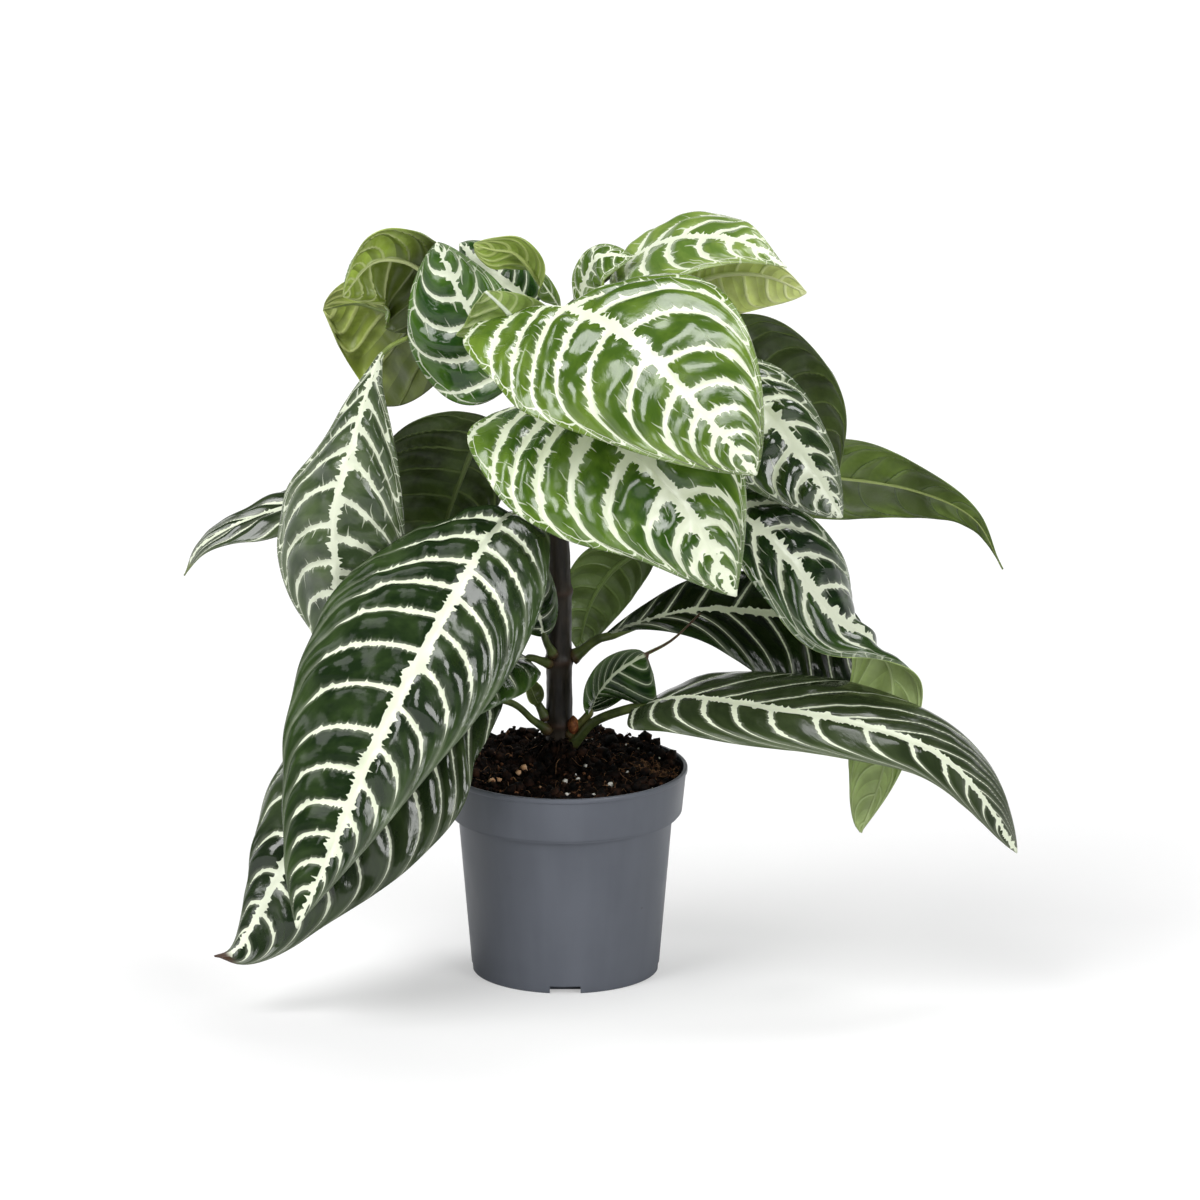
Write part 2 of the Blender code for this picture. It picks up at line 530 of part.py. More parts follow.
def stem_hole():
    """The stem's buried foot, wider by the gap, as a cutter."""
    foot = Vector(STEM_AXIS[0]) * MM
    radius = (max(STEM_RADII) + 0.2) * MM + GAP
    depth = 60 * MM
    bm = bmesh.new()
    place = Matrix.Translation((foot.x, foot.y, foot.z - GAP + depth / 2))
    bmesh.ops.create_cone(
        bm, cap_ends=True, segments=STEM_SIDES, radius1=radius, radius2=radius, depth=depth,
        matrix=place @ Matrix.Rotation(math.pi / STEM_SIDES, 4, "Z"))
    return hide_cutter(add_object("stem_hole", bm, None))


def make_bud(surface):
    """A small side bud on the stem, just above the soil."""
    height = 129 * MM
    axis = Vector(stem_at(height)[0])
    outward = Vector((0.9, -0.3, 0)).normalized()
    size = 3.6 * MM
    centre = axis + outward * (stem_radius(height) + size * 0.75 + GAP)
    bm = bmesh.new()
    bmesh.ops.create_icosphere(bm, subdivisions=2, radius=size)
    for vertex in bm.verts:
        vertex.co = Vector((vertex.co.x * 0.75, vertex.co.y * 0.75, vertex.co.z * 1.25)) + centre
    return add_object("side_bud", bm, surface)


def main():
    clear_scene()
    make_pot(plain_material("grey_plastic", (0.12, 0.13, 0.15), 0.45))
    make_soil(plain_material("peat", (0.02, 0.012, 0.008), 0.95))
    make_stem(plain_material("dark_bark", (0.035, 0.022, 0.018), 0.5))
    make_bud(plain_material("bud_scale", (0.35, 0.12, 0.04), 0.5))
    for name, leaf in LEAVES.items():
        make_leaf(name, leaf, plain_material(f"{name}_green", TONES[leaf["tone"]], 0.35))


main()
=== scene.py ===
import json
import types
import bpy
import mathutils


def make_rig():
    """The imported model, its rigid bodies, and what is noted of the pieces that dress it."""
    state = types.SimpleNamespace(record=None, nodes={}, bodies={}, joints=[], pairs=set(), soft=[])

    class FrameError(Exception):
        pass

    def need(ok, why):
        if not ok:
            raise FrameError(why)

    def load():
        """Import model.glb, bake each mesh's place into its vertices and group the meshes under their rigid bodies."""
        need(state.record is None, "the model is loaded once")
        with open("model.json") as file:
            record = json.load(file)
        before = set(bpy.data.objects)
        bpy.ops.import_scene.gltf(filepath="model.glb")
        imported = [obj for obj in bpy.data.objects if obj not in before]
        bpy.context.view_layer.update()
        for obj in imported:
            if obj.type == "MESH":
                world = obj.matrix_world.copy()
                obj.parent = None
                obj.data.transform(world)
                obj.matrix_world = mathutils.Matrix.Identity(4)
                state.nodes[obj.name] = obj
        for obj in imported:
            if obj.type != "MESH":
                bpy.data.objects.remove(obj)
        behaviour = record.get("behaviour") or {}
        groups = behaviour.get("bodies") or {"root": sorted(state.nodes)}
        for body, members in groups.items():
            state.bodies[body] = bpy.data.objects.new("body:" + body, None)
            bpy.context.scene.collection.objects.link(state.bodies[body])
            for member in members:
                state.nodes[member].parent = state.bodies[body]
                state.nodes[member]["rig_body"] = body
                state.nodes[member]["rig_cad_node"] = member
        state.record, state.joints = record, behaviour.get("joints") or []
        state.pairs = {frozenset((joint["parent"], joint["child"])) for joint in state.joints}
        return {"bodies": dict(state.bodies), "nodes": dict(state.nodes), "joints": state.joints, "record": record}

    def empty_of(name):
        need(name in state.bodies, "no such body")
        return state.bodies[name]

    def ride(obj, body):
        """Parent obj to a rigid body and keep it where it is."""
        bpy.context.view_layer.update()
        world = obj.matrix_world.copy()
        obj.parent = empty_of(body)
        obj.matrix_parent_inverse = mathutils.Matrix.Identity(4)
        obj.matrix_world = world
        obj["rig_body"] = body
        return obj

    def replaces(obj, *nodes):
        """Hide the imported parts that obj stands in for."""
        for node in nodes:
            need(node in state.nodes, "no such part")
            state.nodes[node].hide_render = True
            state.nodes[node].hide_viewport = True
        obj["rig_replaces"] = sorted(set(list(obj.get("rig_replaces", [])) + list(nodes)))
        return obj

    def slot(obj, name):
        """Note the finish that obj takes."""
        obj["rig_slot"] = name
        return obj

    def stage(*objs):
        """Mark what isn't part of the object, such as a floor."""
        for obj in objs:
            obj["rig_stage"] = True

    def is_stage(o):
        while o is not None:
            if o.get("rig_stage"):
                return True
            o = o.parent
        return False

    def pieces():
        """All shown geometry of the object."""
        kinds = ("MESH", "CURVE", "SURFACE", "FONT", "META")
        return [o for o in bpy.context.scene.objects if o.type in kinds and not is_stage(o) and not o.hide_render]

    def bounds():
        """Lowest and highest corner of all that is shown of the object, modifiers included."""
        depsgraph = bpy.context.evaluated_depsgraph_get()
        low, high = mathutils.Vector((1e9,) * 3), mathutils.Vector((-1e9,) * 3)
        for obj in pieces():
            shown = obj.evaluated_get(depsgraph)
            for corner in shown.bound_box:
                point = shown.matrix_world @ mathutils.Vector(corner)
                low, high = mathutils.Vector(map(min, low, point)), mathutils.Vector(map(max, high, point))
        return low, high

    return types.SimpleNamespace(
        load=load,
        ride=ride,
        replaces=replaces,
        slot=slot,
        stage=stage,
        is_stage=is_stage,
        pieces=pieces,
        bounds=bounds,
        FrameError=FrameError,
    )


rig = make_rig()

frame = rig.load()

import json
import math
import random

import bmesh
import bpy
import numpy as np
from mathutils import Matrix, Vector, noise

cadLow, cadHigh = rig.bounds()
mm = 0.001


# shader nodes, whose outputs are added, multiplied and so on like numbers

class Output:  # what one node gives
    def __init__(self, socket):
        self.socket = socket
        self.tree = socket.id_data

    def __add__(self, other):
        return maths("ADD", self, other)

    def __sub__(self, other):
        return maths("SUBTRACT", self, other)

    def __rsub__(self, other):
        return maths("SUBTRACT", other, self)

    def __mul__(self, other):
        return maths("MULTIPLY", self, other)

    def __truediv__(self, other):
        return maths("DIVIDE", self, other)

    def __pow__(self, other):
        return maths("POWER", self, other)

    def __abs__(self):
        return maths("ABSOLUTE", self)

    def __round__(self):
        return maths("ROUND", self)


def plug(socket, value):
    if isinstance(value, Output):
        value.tree.links.new(value.socket, socket)
    elif socket.type == "RGBA":
        socket.default_value = (*value, 1)
    elif value is not None:
        socket.default_value = value


def fed(kind, *values, places=None, **settings):  # a new node with the values plugged into its inputs
    node = next(value.tree for value in values if isinstance(value, Output)).nodes.new(kind)
    for setting, value in settings.items():
        setattr(node, setting, value)
    for place, value in zip(places or range(len(values)), values):
        plug(node.inputs[place], value)
    return node


def maths(operation, *values, clamp=False):
    return Output(fed("ShaderNodeMath", *values, operation=operation, use_clamp=clamp).outputs[0])


def fade(value, low, high, start=0.0, end=1.0):  # a smooth step from start to end
    settings = {"interpolation_type": "SMOOTHSTEP"}
    return Output(fed("ShaderNodeMapRange", value, low, high, start, end, **settings).outputs[0])


def mixColour(share, first, second):
    mixed = fed("ShaderNodeMix", share, first, second, places=(0, 6, 7), data_type="RGBA")
    return Output(mixed.outputs[2])


def vectorOf(*values):
    return Output(fed("ShaderNodeCombineXYZ", *values).outputs[0])


def split(vector):
    return [Output(part) for part in fed("ShaderNodeSeparateXYZ", vector).outputs]


def splitField(tree, name):
    field = tree.nodes.new("ShaderNodeAttribute")
    field.attribute_name = name
    vector = Output(field.outputs["Vector"])
    return vector, *split(vector)


def cloudy(place, size, detail=2.0, rough=0.5):
    inputs = "Vector", "Scale", "Detail", "Roughness"
    return Output(fed("ShaderNodeTexNoise", place, 1 / size, detail, rough, places=inputs).outputs[0])


def stretched(place, stretch):
    return Output(fed("ShaderNodeMapping", place, stretch, places=("Vector", "Scale")).outputs[0])


def raised(height, depth, under=None):
    inputs = "Height", "Strength", "Distance", "Normal"
    return Output(fed("ShaderNodeBump", height, 1, depth, under, places=inputs).outputs[0])


def newMaterial(name, roughness, specular=0.5):
    made = bpy.data.materials.new(name)
    made.use_nodes = True
    shader = made.node_tree.nodes["Principled BSDF"]
    shader.inputs["Roughness"].default_value = roughness
    shader.inputs["Specular IOR Level"].default_value = specular
    return made, made.node_tree, shader


def ownPlace(tree):
    return Output(tree.nodes.new("ShaderNodeTexCoord").outputs["Object"])


# small helpers for meshes

def addPiece(name, bm, *surfaces, smooth=True):
    mesh = bpy.data.meshes.new(name)
    bm.to_mesh(mesh)
    bm.free()
    for surface in surfaces:
        mesh.materials.append(surface)
    if smooth:
        mesh.shade_smooth()
    piece = bpy.data.objects.new(name, mesh)
    bpy.context.scene.collection.objects.link(piece)
    return piece


def settle(piece, slot, *nodes):
    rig.ride(piece, "root")
    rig.slot(piece, slot)
    if nodes:
        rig.replaces(piece, *nodes)
    return piece


def smoothRoute(points, samples):
    # a Catmull-Rom curve, evenly spaced, its length, and where each point lies on it
    points = np.array(points, float)
    ends = np.vstack([2 * points[0] - points[1], points, 2 * points[-1] - points[-2]])
    steps = 24
    t = np.linspace(0, 1, steps, endpoint=False)[:, None]
    parts = []
    for a, b, c, d in zip(ends, ends[1:], ends[2:], ends[3:]):
        square = (2 * a - 5 * b + 4 * c - d) * t**2
        cube = (3 * b - a - 3 * c + d) * t**3
        parts.append((2 * b + (c - a) * t + square + cube) / 2)
    curve = np.vstack(parts + [points[-1:]])
    along = np.concatenate([[0], np.cumsum(np.linalg.norm(np.diff(curve, axis=0), axis=1))])
    even = np.linspace(0, along[-1], samples)
    return readAt(even, along, curve), along[-1], along[::steps]


def readAt(stops, places, values):
    return np.stack([np.interp(stops, places, values[:, k]) for k in range(values.shape[1])], axis=1)


def unit(vectors):
    return vectors / np.maximum(np.linalg.norm(vectors, axis=-1, keepdims=True), 1e-12)


def steady(directions, share=0.12):  # each direction averaged with its neighbours
    reach = round(share * len(directions))
    padded = np.vstack([directions[:1]] * reach + [directions] + [directions[-1:]] * reach)
    sums = np.cumsum(np.vstack([0 * padded[:1], padded]), axis=0)
    return unit(sums[2 * reach + 1:] - sums[:-2 * reach - 1])


def rolledTube(rows):  # rows is (stations, sides, 3); a grid rolled up, with both ends closed
    stations, sides = rows.shape[:2]
    bm = bmesh.new()
    bmesh.ops.create_grid(bm, x_segments=stations - 1, y_segments=sides, size=1)
    for vertex in bm.verts:
        i = round((vertex.co.x + 1) / 2 * (stations - 1))
        j = round((vertex.co.y + 1) / 2 * sides) % sides
        vertex.co = rows[i, j]
    bmesh.ops.remove_doubles(bm, verts=bm.verts, dist=0.000001)
    bmesh.ops.holes_fill(bm, edges=[edge for edge in bm.edges if edge.is_boundary], sides=0)
    bmesh.ops.recalc_face_normals(bm, faces=bm.faces)
    return bm


# camera, light and floor

view = {"lens": 300, "away": 4.88, "elevation": 15.2, "aim": (0.017, 0, 0.187)}


def makeCamera():
    tilt = math.radians(view["elevation"])
    back = Vector((0, -math.cos(tilt), math.sin(tilt)))
    camera = bpy.data.objects.new("camera", bpy.data.cameras.new("camera"))
    camera.data.lens = view["lens"]
    camera.data.sensor_width = 36
    camera.data.clip_end = 50
    camera.location = Vector(view["aim"]) + back * view["away"]
    camera.rotation_euler = (-back).to_track_quat("-Z", "Y").to_euler()
    bpy.context.scene.collection.objects.link(camera)
    bpy.context.scene.camera = camera


studio = {
    "skyLevel": 0.22, "mirrorLevel": 0.07,
    "floorColour": (0.62, 0.62, 0.62), "floorGlow": 0.38, "floorSize": 24,
    "lamps": [  # name, direction towards the lamp, width in degrees, strength
        ("overhead", (-0.5, -0.3, 0.82), 36, 1.75),
        ("frontLeft", (-0.7, -0.7, 0.5), 28, 0.7),
        ("backRight", (0.3, 0.35, 0.9), 22, 0.9),
        ("frontRight", (0.65, -0.78, 0.42), 30, 1.15),
    ],
}


def makeStudio():
    for name, towards, width, strength in studio["lamps"]:
        lamp = bpy.data.lights.new(name, "SUN")
        lamp.energy = strength
        lamp.angle = math.radians(width)
        holder = bpy.data.objects.new(name, lamp)
        holder.rotation_euler = Vector(towards).to_track_quat("Z", "Y").to_euler()
        holder.location = Vector(towards)
        bpy.context.scene.collection.objects.link(holder)
    world = bpy.data.worlds.new("studio")
    world.use_nodes = True
    bpy.context.scene.world = world
    tree = world.node_tree
    sky = tree.nodes["Background"]
    _, depth, height = split(Output(tree.nodes.new("ShaderNodeTexCoord").outputs["Generated"]))
    low = fade(height, 0.2, 0.4, 1, 0)
    share = seenRays(fade(depth, -0.1, 0.4)) * low
    mirrored = Output(tree.nodes.new("ShaderNodeLightPath").outputs["Is Glossy Ray"])
    level, dim = studio["skyLevel"], studio["mirrorLevel"]
    dull = mixColour(mirrored, (level, level, level * 1.02), (dim, dim, dim))
    plug(sky.inputs["Color"], mixColour(share, dull, (1, 1, 1)))


def seenRays(behind):  # camera rays, and mirrored or see-through rays that go to the back
    path = behind.tree.nodes.new("ShaderNodeLightPath")
    kinds = "Is Camera Ray", "Is Glossy Ray", "Is Transmission Ray"
    camera, mirrored, clear = (Output(path.outputs[kind]) for kind in kinds)
    return maths("MAXIMUM", camera, maths("MAXIMUM", mirrored, clear) * behind)


def makeFloor():
    bm = bmesh.new()
    bmesh.ops.create_grid(bm, x_segments=8, y_segments=8, size=studio["floorSize"] / 2)
    made, tree, shader = newMaterial("paleFloor", 0.9, 0.0)
    plug(shader.inputs["Base Color"], studio["floorColour"])
    plug(shader.inputs["Emission Color"], (1, 1, 1))
    _, depth, _ = split(ownPlace(tree))
    plug(shader.inputs["Emission Strength"], seenRays(fade(depth, -0.1, 0.3)) * studio["floorGlow"])
    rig.stage(addPiece("floor", bm, made))


makeCamera()
makeStudio()
makeFloor()
bpy.context.scene.view_settings.view_transform = "Standard"
print("studio ready")


# pot

potShape = {
    "height": 103, "bandBottom": 80.8, "rim": 60, "bandTop": 59.3, "bandFoot": 57.3, "bodyTop": 52.7,
    "base": 45.9, "lip": 2.4, "wall": 1.3, "floor": 1.8, "sides": 192,
    "archCount": 4, "archWidth": 15, "archHeight": 3.8, "archDepth": 8,
    "drainCount": 8, "drainRadius": 3, "drainRing": 29,
}


def potMaterial():
    made, tree, shader = newMaterial("greyMouldedPlastic", 0.42, 0.4)
    place = ownPlace(tree)
    streaks = cloudy(stretched(place, (1, 1, 0.12)), 0.012, 3)
    mottle = cloudy(place, 0.03, 4)
    shade = streaks * 0.5 + mottle * 0.5
    colour = mixColour(fade(shade, 0.3, 0.7), (0.116, 0.128, 0.154), (0.138, 0.151, 0.18))
    dots = fed("ShaderNodeTexVoronoi", place, 90, places=("Vector", "Scale"))
    few = maths("GREATER_THAN", cloudy(place, 0.02, 1), 0.62)
    dust = fade(Output(dots.outputs["Distance"]), 0.03, 0.06, 1, 0) * few
    colour = mixColour(dust * 0.5, colour, (0.03, 0.028, 0.026))
    plug(shader.inputs["Base Color"], colour)
    plug(shader.inputs["Roughness"], fade(mottle, 0.3, 0.7, 0.36, 0.5))
    grain = cloudy(place, 0.0006, 2)
    plug(shader.inputs["Normal"], raised(grain, 0.00003))
    return made


def spunBody(profile, sides):
    bm = bmesh.new()
    corners = [bm.verts.new((radius * mm, 0, height * mm)) for radius, height in profile]
    edges = [bm.edges.new(pair) for pair in zip(corners, corners[1:])]
    bmesh.ops.spin(
        bm, geom=corners + edges, cent=(0, 0, 0), axis=(0, 0, 1), angle=2 * math.pi, steps=sides,
        use_merge=True)
    bmesh.ops.remove_doubles(bm, verts=bm.verts, dist=0.000001)
    bmesh.ops.recalc_face_normals(bm, faces=bm.faces)
    return bm


def potCutters():
    size = potShape
    bm = bmesh.new()
    for k in range(size["archCount"]):
        turn = Matrix.Rotation(-math.pi / 2 + 2 * math.pi * k / size["archCount"], 4, "Z")
        reach = (size["archDepth"] + size["wall"]) * mm
        middle = ((size["base"] + size["wall"]) * mm - reach / 2, 0, (size["archHeight"] - 1) / 2 * mm)
        block = Matrix.Diagonal((reach, size["archWidth"] * mm, (size["archHeight"] + 1) * mm, 1))
        bmesh.ops.create_cube(bm, size=1, matrix=turn @ Matrix.Translation(middle) @ block)
    for k in range(size["drainCount"]):
        turn = 2 * math.pi * (k + 0.5) / size["drainCount"]
        ring = size["drainRing"] * mm
        place = Matrix.Translation((ring * math.cos(turn), ring * math.sin(turn), 0))
        radius = size["drainRadius"] * mm
        bmesh.ops.create_cone(
            bm, cap_ends=True, segments=32, radius1=radius, radius2=radius, depth=6 * size["floor"] * mm,
            matrix=place)
    cutter = addPiece("potCutters", bm, smooth=False)
    cutter.hide_render = True
    return cutter


def makePot():
    size = potShape
    top, step = size["height"], size["bandBottom"]
    profile = [
        (0, 0), (30, 0), (36.5, 0), (size["base"] - 0.8, 0), (size["base"] - 0.25, 0.2), (size["base"], 0.8),
        (size["base"] + 0.15, 2), (size["base"] + 0.5, 6), (size["bodyTop"], step - 0.6),
        (size["bodyTop"] + 0.15, step - 0.2), (size["bodyTop"] + 0.6, step), (size["bandFoot"] - 0.5, step),
        (size["bandFoot"] - 0.12, step + 0.12), (size["bandFoot"], step + 0.5),
        (size["bandTop"], top - size["lip"] - 0.2), (size["rim"] - 0.25, top - size["lip"]),
        (size["rim"], top - size["lip"] + 0.4), (size["rim"], top - 0.7), (size["rim"] - 0.2, top - 0.2),
        (size["rim"] - 0.7, top), (size["bandTop"] - size["wall"] + 0.5, top),
        (size["bandTop"] - size["wall"] + 0.1, top - 0.15), (size["bandTop"] - size["wall"], top - 0.6),
        (size["bandFoot"] - size["wall"], step - size["wall"]),
        (size["bodyTop"] - size["wall"], step - size["wall"]),
        (size["base"] - size["wall"] + 0.4, 6.2), (size["base"] - size["wall"], size["floor"]),
        (30, size["floor"]), (0, size["floor"])]
    pot = addPiece("potShell", spunBody(profile, size["sides"]), potMaterial())
    cutter = potCutters()
    cut = pot.modifiers.new("arches", "BOOLEAN")
    cut.operation = "DIFFERENCE"
    cut.solver = "EXACT"
    cut.object = cutter
    shaped = bpy.data.meshes.new_from_object(pot.evaluated_get(bpy.context.evaluated_depsgraph_get()))
    pot.modifiers.clear()
    pot.data = shaped
    bpy.data.objects.remove(cutter)
    shaped.shade_smooth()
    shaped.set_sharp_from_angle(angle=math.radians(38))
    settle(pot, "pot_plastic", "pot")


makePot()
print("pot ready")


# stem

stemShape = {
    "axis": [(-3, 6, 74), (-3, 6, 112), (-3, 6, 165), (-4, 7, 215), (-10, 10, 270), (-18, 13, 312),
        (-21, 14, 331)],
    "radii": [6.4, 6.5, 6.2, 5.9, 4.9, 3.6, 1.6],
    "rings": [123, 155, 190, 226, 262],
    "swell": 0.9, "greenFrom": 285, "greenOver": 30, "sides": 48, "stations": 300,
}


def stemLine():
    return smoothRoute(np.array(stemShape["axis"]) * mm, 200)[0]


def stemRadius(height):
    heights = [point[2] * mm for point in stemShape["axis"]]
    radius = np.interp(height, heights, np.array(stemShape["radii"]) * mm)
    for ring in stemShape["rings"]:
        radius = radius + stemShape["swell"] * mm * np.exp(-(((height - ring * mm) / (2.5 * mm)) ** 2))
    return radius


def stemAt(height):
    line = stemLine()
    direction = np.gradient(line, axis=0)
    point = readAt([height], line[:, 2], line)[0]
    upward = readAt([height], line[:, 2], direction)[0]
    return point, upward / np.linalg.norm(upward)


def barkMaterial():
    made, tree, shader = newMaterial("darkBark", 0.45, 0.35)
    place = ownPlace(tree)
    fibres = cloudy(stretched(place, (1, 1, 0.16)), 0.0022, 4, 0.55)
    patches = cloudy(place, 0.014, 3)
    colour = mixColour(fade(fibres, 0.3, 0.7), (0.01, 0.008, 0.006), (0.027, 0.02, 0.014))
    colour = mixColour(fade(patches, 0.45, 0.75, 0, 0.6), colour, (0.055, 0.04, 0.024))
    _, ring, green, _ = splitField(tree, "bark")
    colour = mixColour(ring * 0.4, colour, (0.085, 0.04, 0.024))
    colour = mixColour(green, colour, (0.05, 0.085, 0.02))
    plug(shader.inputs["Base Color"], colour)
    plug(shader.inputs["Roughness"], fade(patches, 0.3, 0.7, 0.38, 0.62))
    plug(shader.inputs["Normal"], raised(fibres, 0.00025))
    return made


def makeStem():
    line = stemLine()
    heights = np.linspace(line[0, 2], line[-1, 2], stemShape["stations"])
    places = readAt(heights, line[:, 2], line)
    turns = np.linspace(0, 2 * math.pi, stemShape["sides"], endpoint=False)
    rows = np.zeros((len(heights), len(turns), 3))
    for i, height in enumerate(heights):
        radius = stemRadius(height)
        for j, turn in enumerate(turns):
            around = Vector((math.cos(turn), math.sin(turn), 0))
            ridges = noise.noise(Vector((around.x * 2.2, around.y * 2.2, height / (16 * mm))))
            knobs = noise.noise(Vector((around.x * 4, around.y * 4, height / (3.5 * mm))) + Vector((9, 3, 5)))
            rows[i, j] = around * (radius + 0.35 * mm * ridges + 0.15 * mm * knobs)
            rows[i, j] += places[i]
    stem = addPiece("stemBark", rolledTube(rows), barkMaterial())
    field = stem.data.attributes.new("bark", "FLOAT_VECTOR", "POINT")
    spots = np.array([vertex.co for vertex in stem.data.vertices])
    ring = sum(np.exp(-(((spots[:, 2] - h * mm) / (1.5 * mm)) ** 2)) for h in stemShape["rings"])
    green = np.clip((spots[:, 2] / mm - stemShape["greenFrom"]) / stemShape["greenOver"], 0, 1)
    field.data.foreach_set("vector", np.stack([np.clip(ring, 0, 1), green, 0 * ring], axis=1).ravel())
    settle(stem, "bark", "stem")


makeStem()
print("stem ready")


# leaves

plainLook = {  # what a leaf's look is unless its age or the leaf itself says otherwise; lengths in mm
    "sideThorn": 0.7, "sideShare": (1, 1), "ribStart": (-0.08, 0.42, 0.2), "greenBase": 0.05,
    "plainEdge": 1.3, "tip": (0.075, 0.04, 0.025), "stalk": ((0.045, 0.065, 0.018), (0.10, 0.13, 0.035)),
    # backPatchShade and backShade set how deep the painted shade on the undersides is
    "backWidth": 0.85, "backMidrib": 1.2, "backPatchShade": 0.7, "backShade": 0.4,
}

greens = {  # what the leaves of one age have in common
    "dark": {
        "deep": (0.006, 0.020, 0.004), "fresh": (0.036, 0.088, 0.010), "vein": (0.87, 0.93, 0.72),
        "back": (0.10, 0.155, 0.038), "backVein": (0.24, 0.32, 0.11), "midrib": 2.6, "lateral": 1.3,
        "thorn": 1.7, "sideThorn": 0.45, "plainEdge": 0.86, "loops": 0.0, "pucker": 2.3, "gloss": 0.13,
        "threads": 0.0,
    },
    "mid": {
        "deep": (0.058, 0.125, 0.009), "fresh": (0.16, 0.27, 0.022), "vein": (0.88, 0.94, 0.72),
        "back": (0.32, 0.45, 0.07), "backVein": (0.55, 0.64, 0.22), "midrib": 2.4, "lateral": 1.8,
        "thorn": 1.9, "loops": 0.9, "pucker": 2.1, "gloss": 0.17, "threads": 0.5,
    },
    # the pale undersides are paler in colour, and made paler still as painted light for light that shines through the
    # thin blades
    "pale": {
        "deep": (0.060, 0.145, 0.010), "fresh": (0.16, 0.27, 0.024), "vein": (0.88, 0.94, 0.72),
        "back": (0.36, 0.48, 0.08), "backVein": (0.62, 0.70, 0.26), "midrib": 2.4, "lateral": 1.0,
        "thorn": 1.0, "loops": 0.7, "pucker": 2.2, "gloss": 0.2, "threads": 0.3,
    },
}

# Of each side of a leaf, left and right: its share of the width, its fold and droop in degrees, and how far
# its veins lean forward, run straight and hook at the margin.
plainLeaf = {
    "stalk": 0,  # how many of the midrib's points belong to the stalk
    "shape": (0.6, 0.8, 0.8),  # how blunt the base is, and how the two sides taper
    "sides": (1, 1), "fold": (5, 5), "bend": (20, 20),
    "lean": (0.24, 0.24), "straight": (0, 0), "hook": (0, 0),
    "crowd": 0.28,  # how much closer the side veins lie at both ends than in the middle
    "wavy": 0.7, "stalkWidth": 1.7,
    "late": 0,  # where the left side begins
    "ending": 1,  # where both sides end, before a dry thread
    "look": {},
}

